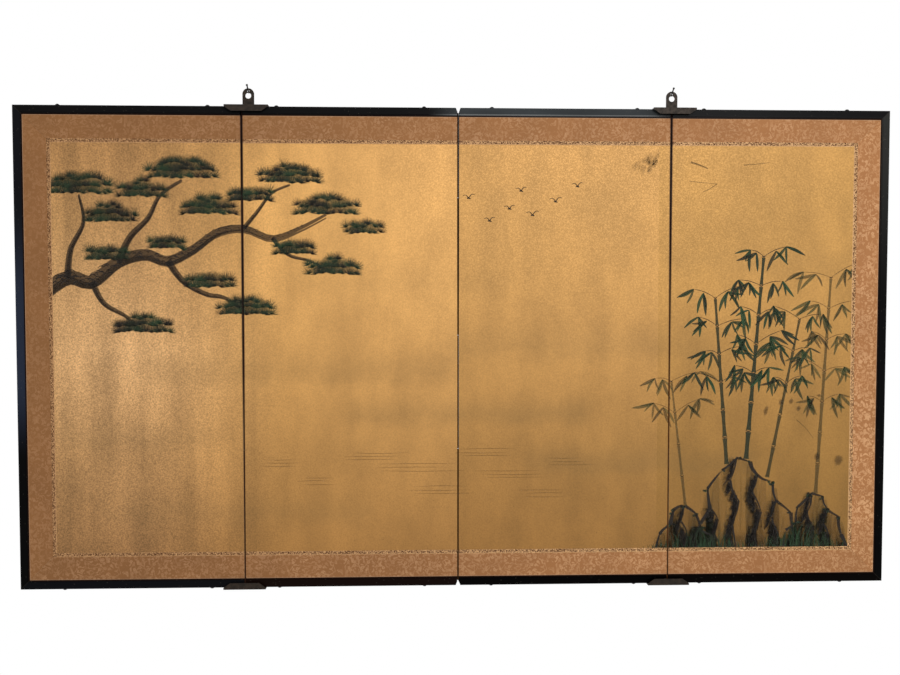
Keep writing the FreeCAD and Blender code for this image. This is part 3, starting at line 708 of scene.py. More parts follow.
# A brown water stain at the foot of the last panel, beside the fold.
STAIN_ACROSS = 0.412
STAIN_UP = 0.090
STAIN_WIDE = 0.022
STAIN_HIGH = 0.026
STAIN_BROWN = paint(122, 76, 34)
FOURTH_PANEL = 0.4085
CLOUDED_GOLD = paint(120, 86, 48)
DIRT_BROWN = paint(74, 54, 26)
GOLD_RELIEF = 0.3 * MM
print(len(BANKS), "banks of mist")

# %% Make the gold paper
gold, tree, shader = new_material("gold_paper", Metallic=0.0, Specular_IOR_Level=0.25)
tone, grains, where, across, up, width, height = gold_ground(tree)
for place, level, half, thick, soft, dark in BANKS:
    mask = use_group(
        tree, bank, Vector=where, Across=place, Up=level, Half_length=half, Half_height=thick,
        Softness=soft,
    )["Mask"]
    tone = tint(tree, tone, WASH, mask, dark)
clouded = use_group(tree, wear, Vector=where, Per_metre=70.0, Amount=0.35)["Mask"]
clouded = times(tree, clouded, step(tree, width, 0.55, 0.95, 0.05, 0.35))
tone = mix(tree, clouded, tone, CLOUDED_GOLD)
aside = over(tree, minus(tree, across, STAIN_ACROSS), STAIN_WIDE)
above = over(tree, minus(tree, up, STAIN_UP), STAIN_HIGH)
away = plus(tree, times(tree, aside, aside), times(tree, above, above))
away = plus(tree, away, times(tree, spread(tree, where, 60.0), 0.4))
stain = times(tree, step(tree, away, 1.0, 1.2, 0.6, 0.0), past(tree, across, FOURTH_PANEL))
tone = mix(tree, stain, tone, STAIN_BROWN)
dirt = step(tree, spread(tree, where, 300.0, detail=3.0, roughness=0.7), 0.64, 0.72)
dirt = times(tree, dirt, step(tree, height, 0.05, 0.7, 0.45, 0.08))
tone = mix(tree, dirt, tone, DIRT_BROWN)
tone = shade_folds(tree, where, tone)
dull = widen(tree, grains, 0.62, 0.45)
metallic = step(tree, grains, 0.4, 0.8, 0.06, 0.22)
relief = bump(tree, grains, 0.2, GOLD_RELIEF)
wire(tree, shader, Base_Color=tone, Roughness=dull, Metallic=metallic, Normal=relief)
dress(on_panels("painting"), gold)

# %% [markdown]
# ## Brocade
#
# The border is a silk cloth woven with small plum blossoms and running tendrils in a lighter
# thread. It is cut in strips, one for each side, and pasted down with mitred corners. Modelled as
# flat strips with a pattern that follows each strip, the thread turns at the corner as it does on
# the real border, and the mitre shows as a seam.

# %% A strip of cloth pasted along one side of a panel
# A new grid runs from minus a half to a half, and is then bent to its place.
GRID_HALF = 0.5
CLOTH_LAYERS = ("along", "across", "nap")
CLOTH_WAVER = 0.05 * MM
WAVERS_PER_METRE = 22.0
WAVER_SEED = 3.0


def new_cloth():
    """A bare shape that holds the cloth's values at each point."""
    shape = bmesh.new()
    for layer in CLOTH_LAYERS:
        shape.verts.layers.float.new(layer)
    return shape


def cloth_strip(shape, side, low, high, width, front, cell, crown):
    """A flat strip along one side of the frame from low to high, before its ends are mitred."""
    level = side in ("top", "bottom")
    length = high.x - low.x if level else high.z - low.z
    columns = max(2, round(length / cell))
    rows = max(2, round(width / cell))
    bmesh.ops.create_grid(shape, x_segments=columns, y_segments=rows, size=GRID_HALF)
    along_layer, across_layer, nap_layer = (shape.verts.layers.float[name] for name in CLOTH_LAYERS)
    for vert in shape.verts:
        along = (vert.co.x + GRID_HALF) * length
        out = vert.co.y + GRID_HALF
        rise = front + crown * (2 * out - 1) ** 4
        vert[along_layer] = along
        vert[across_layer] = out * width
        vert[nap_layer] = 0.0 if level else 1.0
        if level:
            z = high.z - out * width if side == "top" else low.z + out * width
            vert.co = (low.x + along, rise, z)
        else:
            x = low.x + out * width if side == "left" else high.x - out * width
            vert.co = (x, rise, low.z + along)
        spot = (vert.co.x * WAVERS_PER_METRE, WAVER_SEED, vert.co.z * WAVERS_PER_METRE)
        vert.co.y += CLOTH_WAVER * noise.noise(spot)


def cut(shape, place, outward, merge):
    """Cuts away what lies outward of a plane."""
    everything = list(shape.verts) + list(shape.edges) + list(shape.faces)
    bmesh.ops.bisect_plane(
        shape, geom=everything, plane_co=place, plane_no=outward, clear_outer=True, dist=merge,
    )


def face_viewer(shape):
    """Turns every face of a flat shape to the front."""
    for face in shape.faces:
        if face.normal.y > 0:
            face.normal_flip()


# %% Mitre a strip
MITRE_GAP = 0.25 * MM
CLOTH_MERGE = 1e-7


def mitred_corners(panel, side, low, high):
    """The screen's corners that a strip ends at, and the ways from each along the two strips."""
    ends = [(low.x, 1)] if panel == PANELS[0] else []
    ends += [(high.x, -1)] if panel == PANELS[-1] else []
    heights = [(low.z, 1)] if side != "top" else []
    heights += [(high.z, -1)] if side != "bottom" else []
    return [(Vector((x, 0, z)), toward_x, toward_z) for x, toward_x in ends for z, toward_z in heights]


def mitre(shape, corner, toward_x, toward_z, keeps_level):
    """Cuts a strip's end along the corner's half angle."""
    normal = Vector((toward_z, 0, -toward_x)).normalized()
    middle = Vector((toward_x, 0, 0)) if keeps_level else Vector((0, 0, toward_z))
    if normal.dot(middle) > 0:
        normal.negate()
    cut(shape, corner - normal * MITRE_GAP / 2, normal, CLOTH_MERGE)


print("strips meet with a gap of", round(MITRE_GAP / MM, 2), "mm")

# %% Cut the borders of every panel
def border(panel, low, high, width, front, cell, crown):
    """The strips that go round one panel: two level ones, and an upright one at an outer panel."""
    shape = new_cloth()
    sides = ["top", "bottom"]
    sides += ["left"] if panel == PANELS[0] else []
    sides += ["right"] if panel == PANELS[-1] else []
    for side in sides:
        strip = new_cloth()
        cloth_strip(strip, side, low, high, width, front, cell, crown)
        for corner, toward_x, toward_z in mitred_corners(panel, side, low, high):
            mitre(strip, corner, toward_x, toward_z, side in ("top", "bottom"))
        face_viewer(strip)
        made = bpy.data.meshes.new("strip")
        strip.to_mesh(made)
        strip.free()
        shape.from_mesh(made)
        bpy.data.meshes.remove(made)
    return shape


def give_thickness(piece, thickness):
    """Gives a flat piece its thickness, behind the visible face."""
    solid = piece.modifiers.new("thickness", "SOLIDIFY")
    solid.thickness = thickness
    solid.offset = -1


def flat_area(shape):
    """Area of a flat shape, in square metres."""
    return sum(face.calc_area() for face in shape.faces)


print("borders are ready to be cut")

# %% Group: blossoms scattered over a cloth
blossoms, start, end = new_group(
    "blossoms",
    [("Vector", "NodeSocketVector", None), ("Per metre", "NodeSocketFloat", 95.0)],
    ["Blossom", "Tendril"],
)
cells = add(
    blossoms, "ShaderNodeTexVoronoi",
    {"Vector": start["Vector"], "Scale": start["Per metre"], "Randomness": 0.75},
)
scaled = add(
    blossoms, "ShaderNodeVectorMath", {0: start["Vector"], "Scale": start["Per metre"]}, operation="SCALE",
).outputs[0]
centre = add(
    blossoms, "ShaderNodeVectorMath", {0: cells.outputs["Position"], "Scale": start["Per metre"]},
    operation="SCALE",
).outputs[0]
offset = add(blossoms, "ShaderNodeVectorMath", {0: scaled, 1: centre}, operation="SUBTRACT").outputs[0]
parts = add(blossoms, "ShaderNodeSeparateXYZ", {0: offset}).outputs
angle = sum_of(blossoms, "ARCTAN2", parts[1], parts[0])
petal = sum_of(blossoms, "COSINE", times(blossoms, angle, 5.0))
edge = plus(blossoms, 0.27, times(blossoms, petal, 0.05))
away = minus(blossoms, cells.outputs["Distance"], edge)
outline = step(blossoms, sum_of(blossoms, "ABSOLUTE", away), 0.05, 0.13, 1.0, 0.0)
heart = step(blossoms, cells.outputs["Distance"], 0.07, 0.14, 1.0, 0.0)
wire(blossoms, end, Blossom=larger(blossoms, outline, heart))
flow = spread(blossoms, scaled, 0.8, detail=1.0, distortion=0.8)
waves = sum_of(blossoms, "FRACT", times(blossoms, flow, 3.6))
curl = apart(blossoms, waves, 0.5)
wire(blossoms, end, Tendril=step(blossoms, curl, 0.1, 0.22, 1.0, 0.0))
print("blossoms and tendrils take", len(blossoms.nodes), "nodes")

# %% Make the brocade
BLOSSOMS_PER_METRE = 118.0
BROCADE_THREADS = 1700.0
TURNED_EDGE = 1.6 * MM
TURNED_TONE = paint(188, 150, 120)
# Each pair: the tone at the left end of the screen, and at the right end, which is lighter as painted light
# from the right.
BROCADE_GROUND = (paint(137, 93, 54), paint(165, 112, 68))
BROCADE_FIGURE = (paint(172, 127, 88), paint(204, 154, 108))
LIT_FROM = -0.8
LIT_TO = 0.8
BROCADE_RELIEF = 0.15 * MM

brocade, tree, shader = new_material("brocade", Specular_IOR_Level=0.2, Sheen_Weight=0.05)
along, across_strip, nap = (attribute(tree, name) for name in CLOTH_LAYERS)
strip_place = add(tree, "ShaderNodeCombineXYZ", {0: along, 1: across_strip, 2: nap}).outputs[0]
where, across, up = object_place(tree)
figures = use_group(tree, blossoms, Vector=strip_place, Per_metre=BLOSSOMS_PER_METRE)
threads = use_group(tree, weave, Vector=strip_place, Threads_per_metre=BROCADE_THREADS)["Height"]
worn = spread(tree, where, 60.0, detail=3.0)
drawn = larger(tree, figures["Blossom"], times(tree, figures["Tendril"], 0.8))
drawn = times(tree, drawn, widen(tree, worn, 0.4, 1.0))
lit = step(tree, across, LIT_FROM, LIT_TO)
ground = mix(tree, lit, *BROCADE_GROUND)
figure = mix(tree, lit, *BROCADE_FIGURE)
# Painted sheen: the figure shows less on the left upright strip and more on the right one, and a little less
# towards the top.
figure_sheen = step(tree, times(tree, nap, across), -0.7, 0.7, 0.5, 1.1)
figure_sheen = times(tree, figure_sheen, step(tree, up, 0.1, CORE_HIGH.z, 1.1, 0.75))
tone = tint(tree, ground, figure, drawn, figure_sheen)
turned = step(tree, across_strip, 0.0, TURNED_EDGE, 0.65, 0.0)
tone = mix(tree, turned, tone, TURNED_TONE)
tone = shade_folds(tree, where, tone)
clouds = spread(tree, where, 9.0, detail=3.0)
cloudy = step(tree, clouds, 0.25, 0.75, 0.93, 1.06)
lean = times(tree, cloudy, step(tree, threads, 0.1, 0.9, 0.9, 1.06))
# The upright strips are a little lighter, as painted sheen of their turned thread.
lean = times(tree, lean, step(tree, nap, 0.0, 1.0, 0.98, 1.05))
dull = step(tree, drawn, 0.0, 1.0, 0.75, 0.55)
raised = plus(tree, times(tree, threads, 0.5), drawn)
relief = bump(tree, raised, 0.35, BROCADE_RELIEF)
wire(tree, shader, Base_Color=shade(tree, tone, lean), Roughness=dull, Normal=relief)
print("brocade has", BLOSSOMS_PER_METRE, "blossoms to the metre")

# %% Make the narrow figured tape
# A tape with a close small figure covers the seam between brocade and gold paper. All lengths of
# it were cut the same way up, so its dark figures are in the upper part of every level strip.
TAPE_WIDTH = 7.5 * MM
TAPE_THREADS = 2400.0
# The cream is lighter at the right end, as painted light.
TAPE_CREAM = (paint(188, 142, 96), paint(218, 170, 118))
TAPE_FIGURE = paint(84, 50, 24)
TAPE_EDGE = paint(226, 178, 122)
TAPE_RELIEF = 0.1 * MM
DASHES_PER_METRE = 390.0

tape, tree, shader = new_material("figured_strip", Specular_IOR_Level=0.2)
along, across_strip, nap = (attribute(tree, name) for name in CLOTH_LAYERS)
where, across, up = object_place(tree)
share = over(tree, across_strip, TAPE_WIDTH)
at_foot = times(tree, under(tree, up, CORE_HIGH.z / 2), minus(tree, 1.0, nap))
at_top = times(tree, share, minus(tree, 1.0, at_foot))
lowered = plus(tree, at_top, times(tree, minus(tree, 1.0, share), at_foot))
strip_place = add(tree, "ShaderNodeCombineXYZ", {0: along, 1: across_strip, 2: nap}).outputs[0]
dashes = spread(tree, strip_place, DASHES_PER_METRE, stretch=(1, 1.3, 1), roughness=0.6, distortion=1.2)
dashes = step(tree, dashes, 0.46, 0.56, 1.0, 0.0)
upper = step(tree, lowered, 0.72, 1.0, 1.0, 0.25)
dark = times(tree, dashes, upper)
lit = step(tree, across, LIT_FROM, LIT_TO)
cream = mix(tree, lit, *TAPE_CREAM)
tone = mix(tree, dark, cream, TAPE_FIGURE)
tone = tint(tree, tone, TAPE_EDGE, step(tree, share, 0.9, 0.98), 0.3)
tone = shade_folds(tree, where, tone)
threads = use_group(tree, weave, Vector=strip_place, Threads_per_metre=TAPE_THREADS)["Height"]
dull = step(tree, dark, 0.0, 1.0, 0.55, 0.75)
relief = bump(tree, threads, 0.3, TAPE_RELIEF)
wire(tree, shader, Base_Color=tone, Roughness=dull, Normal=relief)
print("the tape has", DASHES_PER_METRE, "dashes to the metre")

# %% Lay the brocade and the tape
BROCADE_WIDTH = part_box("panel_2_brocade_border")[1].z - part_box("panel_2_painting")[1].z
BROCADE_THICKNESS = 0.5 * MM
BROCADE_CELL = 6 * MM
BROCADE_CROWN = 0.1 * MM
TAPE_THICKNESS = 0.3 * MM
TAPE_CELL = 1.6 * MM
TAPE_CROWN = 0.12 * MM

for panel in PANELS:
    body = f"panel_{panel}"
    node_low, node_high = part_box(f"{body}_brocade_border")
    cloth = border(panel, node_low, node_high, BROCADE_WIDTH, node_low.y, BROCADE_CELL, BROCADE_CROWN)
    area = flat_area(cloth)
    piece = make_piece(f"{body}_brocade_cloth", cloth, brocade)
    give_thickness(piece, BROCADE_THICKNESS)
    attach(piece, body)
    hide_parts(f"{body}_brocade_border")

    strip_low, strip_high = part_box(f"{body}_figured_strip")
    ribbon = border(panel, strip_low, strip_high, TAPE_WIDTH, strip_low.y, TAPE_CELL, TAPE_CROWN)
    area = flat_area(ribbon)
    piece = make_piece(f"{body}_scroll_tape", ribbon, tape)
    give_thickness(piece, TAPE_THICKNESS)
    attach(piece, body)
    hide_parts(f"{body}_figured_strip")

# %% [markdown]
# ## Lining paper, back paper and cedar
#
# Under the gold are layers of plain mulberry paper, which show as a pale line beside a fold where the
# painted shade of the fold doesn't reach its edge. The back is closed with a dark printed paper. A small
# printed pattern is traditional, and a lattice of four-petalled lozenges keeps it a generic one. The lattice
# inside is bare cedar.

# %% Make the lining paper
LINING_TONES = (paint(176, 146, 108), paint(206, 180, 142))
LINING_RELIEF = 0.1 * MM

lining, tree, shader = new_material("lining_paper", Roughness=0.85, Specular_IOR_Level=0.2)
where, _, _ = object_place(tree)
fibres = spread(tree, where, 260.0, stretch=(1, 1, 0.25), detail=4.0, distortion=0.6)
tone = mix(tree, widen(tree, fibres), *LINING_TONES)
tone = shade_folds(tree, where, tone)
wire(tree, shader, Base_Color=tone, Normal=bump(tree, fibres, 0.2, LINING_RELIEF))
dress(on_panels("front_paper"), lining)

# %% Make the back paper
LOZENGE = 26 * MM
LOZENGE_SLOPE = 1.6
BACKING_TONES = (paint(46, 54, 62), paint(62, 70, 76))
PRINTED_TONE = paint(112, 112, 96)
FLECK_TONE = paint(150, 150, 136)
SCUFF_TONE = paint(96, 100, 98)
BACKING_RELIEF = 0.15 * MM

backing, tree, shader = new_material("back_paper", Roughness=0.8, Specular_IOR_Level=0.25)
where, across, up = object_place(tree)
fibres = spread(tree, where, 180.0, stretch=(1, 1, 0.4), detail=5.0, distortion=1.0)
ground = mix(tree, widen(tree, fibres), *BACKING_TONES)
sloping = times(tree, up, LOZENGE_SLOPE)
right = over(tree, plus(tree, across, sloping), LOZENGE)
left = over(tree, minus(tree, across, sloping), LOZENGE)
first = apart(tree, sum_of(tree, "FRACT", right), 0.5)
second = apart(tree, sum_of(tree, "FRACT", left), 0.5)
outer = larger(tree, first, second)
lattice = step(tree, outer, 0.455, 0.475)
inner = smaller(tree, first, second)
petals = times(tree, step(tree, outer, 0.16, 0.2, 1.0, 0.0), step(tree, inner, 0.02, 0.05))
printed = larger(tree, times(tree, lattice, 0.6), petals)
faded = spread(tree, where, 25.0, detail=4.0)
printed = times(tree, printed, step(tree, faded, 0.2, 0.75, 0.3, 0.85))
tone = mix(tree, printed, ground, PRINTED_TONE)
flecks = use_group(tree, specks, Vector=where, Per_metre=260.0, Share=0.06)["Mask"]
tone = tint(tree, tone, FLECK_TONE, flecks, 0.5)
scuffs = use_group(tree, wear, Vector=where, Per_metre=60.0, Amount=0.4)["Mask"]
tone = tint(tree, tone, SCUFF_TONE, scuffs, 0.3)
wire(tree, shader, Base_Color=tone, Normal=bump(tree, fibres, 0.2, BACKING_RELIEF))
dress(on_panels("back_paper"), backing)

# %% Make the cedar
CEDAR_TONES = (paint(172, 118, 74), paint(214, 166, 116))
CEDAR_RELIEF = 0.2 * MM

cedar, tree, shader = new_material("cedar", Roughness=0.7, Specular_IOR_Level=0.25)
where, _, _ = object_place(tree)
rings = spread(tree, where, 90.0, stretch=(1, 1, 0.06), detail=4.0, distortion=0.4)
tone = mix(tree, widen(tree, rings), *CEDAR_TONES)
wire(tree, shader, Base_Color=tone, Normal=bump(tree, rings, 0.2, CEDAR_RELIEF))
dress(on_panels("core_stiles", "core_rails", "vertical_bars", "horizontal_bars"), cedar)

# %% [markdown]
# ## Metal
#
# The hangers and brackets are folded sheet metal with a dark bronzed skin, worn to a browner,
# brighter metal where a hand or a nail rubs. The domed nails in the frame are black like the
# lacquer, and the picture nails are plain dark iron.

# %% Make the metals
BRONZE_TONES = (paint(24, 18, 12), paint(44, 34, 25))
BRONZE_WORN = paint(78, 63, 48)
BRONZE_RELIEF = 0.2 * MM
DOME_TONES = (paint(8, 8, 8), paint(30, 28, 27))
IRON_TONES = (paint(30, 29, 28), paint(66, 63, 60))

bronze, tree, shader = new_material("hanger_metal", Metallic=0.25, Specular_IOR_Level=0.22)
where, _, _ = object_place(tree)
skin = spread(tree, where, 120.0, detail=5.0)
tone = mix(tree, widen(tree, skin), *BRONZE_TONES)
rubbed = use_group(tree, wear, Vector=where, Per_metre=300.0, Amount=0.5)["Mask"]
tone = tint(tree, tone, BRONZE_WORN, rubbed, 0.5)
relief = bump(tree, skin, 0.15, BRONZE_RELIEF)
wire(tree, shader, Base_Color=tone, Roughness=widen(tree, skin, 0.62, 0.5), Normal=relief)
clips = [f"{side}_{piece}" for side in ("left", "right") for piece in ("top_hanger", "bottom_bracket")]
dress(clips, bronze)

dome, tree, shader = new_material("dome_nail", Metallic=0.2, Specular_IOR_Level=0.15)
where, _, _ = object_place(tree)
skin = spread(tree, where, 500.0, detail=3.0)
tone = mix(tree, skin, *DOME_TONES)
wire(tree, shader, Base_Color=tone, Roughness=widen(tree, skin, 0.32, 0.55))
dress(on_panels("dome_nails"), dome)

iron, tree, shader = new_material("nail_metal", Metallic=0.4, Specular_IOR_Level=0.3)
where, _, _ = object_place(tree)
skin = spread(tree, where, 700.0, detail=4.0)
tone = mix(tree, skin, *IRON_TONES)
wire(tree, shader, Base_Color=tone, Roughness=widen(tree, skin, 0.4, 0.6))
dress(["left_wall_nail", "right_wall_nail"], iron)

# %% [markdown]
# ## Paper hinges
#
# A byobu has no metal hinges. Each fold has four paper strips, pasted by turns from the front of
# one panel to the back of the next and the other way round, so that the fold opens and shuts
# both ways. On a real strip only the part at the corner bends: the rest lies on one panel's edge.
# So the strips of one direction form one piece, which bends between its two bodies over the few
# millimetres next to the fold's axis.

# %% Make the hinge paper
# Its foot has another tone in each fold, from left to right, and its head is nearly black, as painted shade
# deep in the fold.
HINGE_FOOTS = [
    (0.0, paint(52, 25, 7)),
    (0.4, paint(118, 78, 40)),
    (0.6, paint(88, 50, 16)),
]
HINGE_HEAD_SHADE = (paint(16, 3, 0), paint(34, 10, 2))
FIBRE_TONE = paint(16, 6, 3)
HINGE_RELIEF = 0.1 * MM

hinge_paper, tree, shader = new_material("hinge_paper", Roughness=0.8, Specular_IOR_Level=0.2)
where, across, _ = object_place(tree)
fibres = spread(tree, where, 300.0, stretch=(1, 1, 0.3), detail=4.0)
worn = spread(tree, where, 30.0, stretch=(1, 1, 0.5), detail=3.0)
width = over(tree, minus(tree, across, SHEET_LOW.x), SHEET_WIDTH)
foot_tone = ramp(tree, width, HINGE_FOOTS, "CONSTANT")
head_shade_tone = mix(tree, step(tree, worn, 0.35, 0.65), *HINGE_HEAD_SHADE)
# Painted shade on the upper part of each strip.
at_head = use_group(tree, fold_shade, Vector=where)["Head"]
tone = mix(tree, at_head, foot_tone, head_shade_tone)
tone = tint(tree, tone, FIBRE_TONE, fibres, 0.3)
wire(tree, shader, Base_Color=tone, Normal=bump(tree, fibres, 0.25, HINGE_RELIEF))
print("hinge paper takes", len(tree.nodes), "nodes")

# %% Paste the strips into the folds
HINGE_HEIGHT_SHARES = (0.28, 0.25, 0.30, 0.17)
HINGE_SPACE = 0.6 * MM
HINGE_THICKNESS = 0.25 * MM
BEND_DEPTH = 2.6 * MM
BEND_STEPS = 8
EDGE_STEPS = 4
HINGE_ROWS = 24
HINGE_OVERHANG = 12 * MM
BEND_POWER = 1.5


def hinge_section(near, far, axis_side, other_side, depth):
    """A strip seen from above: over the gap beside the fold's axis, then along the far edge."""
    points = []
    for number in range(BEND_STEPS + 1):
        share = number / BEND_STEPS
        points.append((near + (far - near) * share, axis_side + depth * share ** BEND_POWER))
    for number in range(1, EDGE_STEPS + 1):
        share = number / EDGE_STEPS
        points.append((far, axis_side + depth + (other_side - axis_side - depth) * share))
    return points


def hinge_strip(shape, section, low, high):
    """A strip of paper: its section, a row of edges, raised from low to high."""
    verts = [shape.verts.new((x, y, low)) for x, y in section]
    edges = [shape.edges.new(pair) for pair in zip(verts, verts[1:])]
    for _ in range(HINGE_ROWS):
        raised = bmesh.ops.extrude_edge_only(shape, edges=edges)["geom"]
        edges = [part for part in raised if isinstance(part, bmesh.types.BMEdge)]
        moved = [part for part in raised if isinstance(part, bmesh.types.BMVert)]
        bmesh.ops.translate(shape, verts=moved, vec=(0, 0, (high - low) / HINGE_ROWS))


for fold, (left_body, right_body) in FOLDS.items():
    node = f"{fold}_fold_paper_hinge"
    low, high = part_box(node)
    axis_side, other_side = (high.y, low.y) if fold == "centre" else (low.y, high.y)
    depth = math.copysign(BEND_DEPTH, other_side - axis_side)
    paste = HINGE_THICKNESS / 2
    sides = {left_body: low.x + paste, right_body: high.x - paste}
    for turn, (near_body, far_body) in enumerate(((left_body, right_body), (right_body, left_body))):
        strips = bmesh.new()
        section = hinge_section(sides[near_body], sides[far_body], axis_side, other_side, depth)
        foot_share = 0.0
        for number, share in enumerate(HINGE_HEIGHT_SHARES):
            if number % 2 == turn:
                foot = low.z + (high.z - low.z) * foot_share
                head = foot + (high.z - low.z) * share - HINGE_SPACE
                foot -= HINGE_OVERHANG if number == 0 else 0.0
                head += HINGE_OVERHANG if number == len(HINGE_HEIGHT_SHARES) - 1 else 0.0
                hinge_strip(strips, section, foot, head)
            foot_share += share
        piece = make_piece(f"{fold}_hinge_strips_on_{far_body}", strips, hinge_paper)
        give_thickness(piece, HINGE_THICKNESS)
        piece.modifiers["thickness"].offset = 0
        start = Vector((0, axis_side, 0))
        end = start + Vector((0, depth, 0))
        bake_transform(piece, near_body, far_body, start=start, end=end)
        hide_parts(node)
        print(piece.name, len(piece.data.polygons), "faces")

# %% [markdown]
# ## The ink design
#
# The sheets carry a plain design of the kind that many screens have: a pine bough that reaches
# in from the upper left, rocks with bamboo and grass at the lower right, and a few small birds
# and ripples between. A brush stroke is a ribbon that swells and tapers. Each ribbon is a flat
# grid bent along the stroke's line, and carries at every point how much ink it holds and how
# green the ink is. The ribbons lie about a tenth of a millimetre in front of the paper, each a
# little nearer to the viewer than the one before, and each panel keeps its own share of them.

# %% Make the ink
# What a stroke carries at each point: how much ink, how evenly the ink covers, how green it is,
# and where the point lies among the brush's hairs.
LAYERS = ("load", "solid", "green", "along", "aside")
INK_BLACK = paint(34, 28, 23)
INK_GREEN = paint(48, 78, 48)

ink_paint, tree, shader = new_material("ink", Roughness=0.65, Specular_IOR_Level=0.2)
load, solid, green, along, aside = (attribute(tree, name) for name in LAYERS)
where, _, _ = object_place(tree)
hairs = add(tree, "ShaderNodeCombineXYZ", {0: along, 1: aside, 2: 0.0}).outputs[0]
dry = spread(tree, hairs, 1.0, detail=3.0, roughness=0.6)
grain = spread(tree, where, 700.0, detail=2.0)
left_over = minus(tree, solid, times(tree, dry, 0.9))
left_over = plus(tree, left_over, times(tree, grain, 0.25))
cover = step(tree, left_over, 0.0, 0.3)
tone = mix(tree, green, INK_BLACK, INK_GREEN)
wire(tree, shader, Base_Color=tone, Alpha=times(tree, cover, load))
print("a stroke carries", LAYERS)

# %% Sheets to draw on, in millimetres
INK_SHALLOW = 0.04
INK_DEEP = 0.22
STROKES_AT_MOST = 20000


def new_sheet():
    """A bare sheet to draw on, which holds the ink's values at each point."""
    sheet = bmesh.new()
    for name in LAYERS:
        sheet.verts.layers.float.new(name)
    return sheet


drawing = {"sheet": new_sheet(), "strokes": 0, "motifs": []}


def stroke_grid(columns, rows):
    """The grid of a new stroke, its layers, and where it lies in front of the paper."""
    sheet = drawing["sheet"]
    verts = bmesh.ops.create_grid(sheet, x_segments=columns, y_segments=rows, size=GRID_HALF)["verts"]
    layers = {name: sheet.verts.layers.float[name] for name in LAYERS}
    lift = INK_SHALLOW + (INK_DEEP - INK_SHALLOW) * drawing["strokes"] / STROKES_AT_MOST
    drawing["strokes"] += 1
    return verts, layers, SHEET_FRONT - lift * MM


def keep_motif():
    """Puts the finished motif aside and starts a bare sheet, because a full one is slow to draw on."""
    motif = bpy.data.meshes.new("motif")
    drawing["sheet"].to_mesh(motif)
    drawing["sheet"].free()
    drawing["motifs"].append(motif)
    drawing["sheet"] = new_sheet()


# %% The line of a stroke, and its swell
STROKE_TIP = 0.04
STROKE_ROUNDNESS = 0.6


def along_curve(points, share):
    """A point on the smooth line through hand-set points, and its direction."""
    last = len(points) - 1
    place = min(share * last, last - 1e-6)
    number = int(place)
    part = place - number
    around = [points[min(max(number + offset, 0), last)] for offset in (-1, 0, 1, 2)]
    before, first, second, after = (Vector(point) for point in around)
    bend = 2 * before - 5 * first + 4 * second - after
    twist = 3 * first - before - 3 * second + after
    spot = first + 0.5 * part * ((second - before) + part * (bend + part * twist))
    way = 0.5 * ((second - before) + part * (2 * bend + 3 * part * twist))
    return spot, way.normalized() if way.length > 1e-9 else Vector((1, 0))


def rounded(share):
    """The usual swell of a stroke, thin at both ends."""
    return math.sin(math.pi * min(max(share, STROKE_TIP), 1 - STROKE_TIP)) ** STROKE_ROUNDNESS


def taper(head, tail):
    """A swell that runs from head to tail."""
    return lambda share: head + (tail - head) * share


print("half way, a stroke is", round(rounded(0.5), 2), "of its width, and at its tip", round(rounded(0), 2))

# %% A stroke of the brush
NOISE_PER_STROKE = 7.3
HAIRS_ALONG = 2.0
HAIRS_ACROSS = 3.0


def brush(points, width, load=0.9, solid=(1.2, 1.2), green=0.0, steps=8, swell=rounded):
    """A stroke through points, as wide as width times swell(share), in one load of ink."""
    verts, layers, depth = stroke_grid(1, steps)
    start = NOISE_PER_STROKE * drawing["strokes"]
    for vert in verts:
        share = vert.co.y + GRID_HALF
        side = vert.co.x / GRID_HALF
        spot, way = along_curve(points, share)
        spot = spot + Vector((-way.y, way.x)) * side * width * swell(share) / 2
        vert.co = (spot.x * MM, depth, spot.y * MM)
        vert[layers["load"]] = load
        vert[layers["solid"]] = solid[0] + (solid[1] - solid[0]) * share
        vert[layers["green"]] = green
        vert[layers["along"]] = start + share * HAIRS_ALONG
        vert[layers["aside"]] = start + side * HAIRS_ACROSS


# %% A soft blot
BLOT_CELLS = 8
BLOT_SOLID = 0.85
BLOT_FALL = 0.8
BLOT_HAIRS = 6


def blot(middle, wide, high, load=0.4, green=0.0, turn=0.0):
    """A soft patch of wash with a ragged rim."""
    verts, layers, depth = stroke_grid(BLOT_CELLS, BLOT_CELLS)
    for vert in verts:
        x, z = vert.co.x, vert.co.y
        away = min((x * x + z * z) / GRID_HALF ** 2, 1.0)
        wide_x, high_z = x * wide, z * high
        place_x = middle[0] + wide_x * math.cos(turn) - high_z * math.sin(turn)
        place_z = middle[1] + wide_x * math.sin(turn) + high_z * math.cos(turn)
        vert.co = (place_x * MM, depth, place_z * MM)
        vert[layers["load"]] = load * (1 - away)
        vert[layers["solid"]] = BLOT_SOLID * (1 - away) ** BLOT_FALL
        vert[layers["green"]] = green
        vert[layers["along"]] = place_x / BLOT_HAIRS
        vert[layers["aside"]] = place_z / BLOT_HAIRS


print("a blot is a grid of", BLOT_CELLS, "by", BLOT_CELLS, "cells")

# %% A hand that isn't quite steady
HAND = 11
dice = random.Random(HAND)


def stray(reach):
    """A random number within reach of zero, to either side."""
    return dice.uniform(-reach, reach)


print("brush ready, with hand", HAND)

# %% [markdown]
# ### Pine
#
# Pine is drawn from the bough outward: first the bark in short scaly strokes, then the twigs,
# last the needles, in rows of fans that fill a flat cloud from its underside up. A green wash
# under the fans gives the clouds their weight.

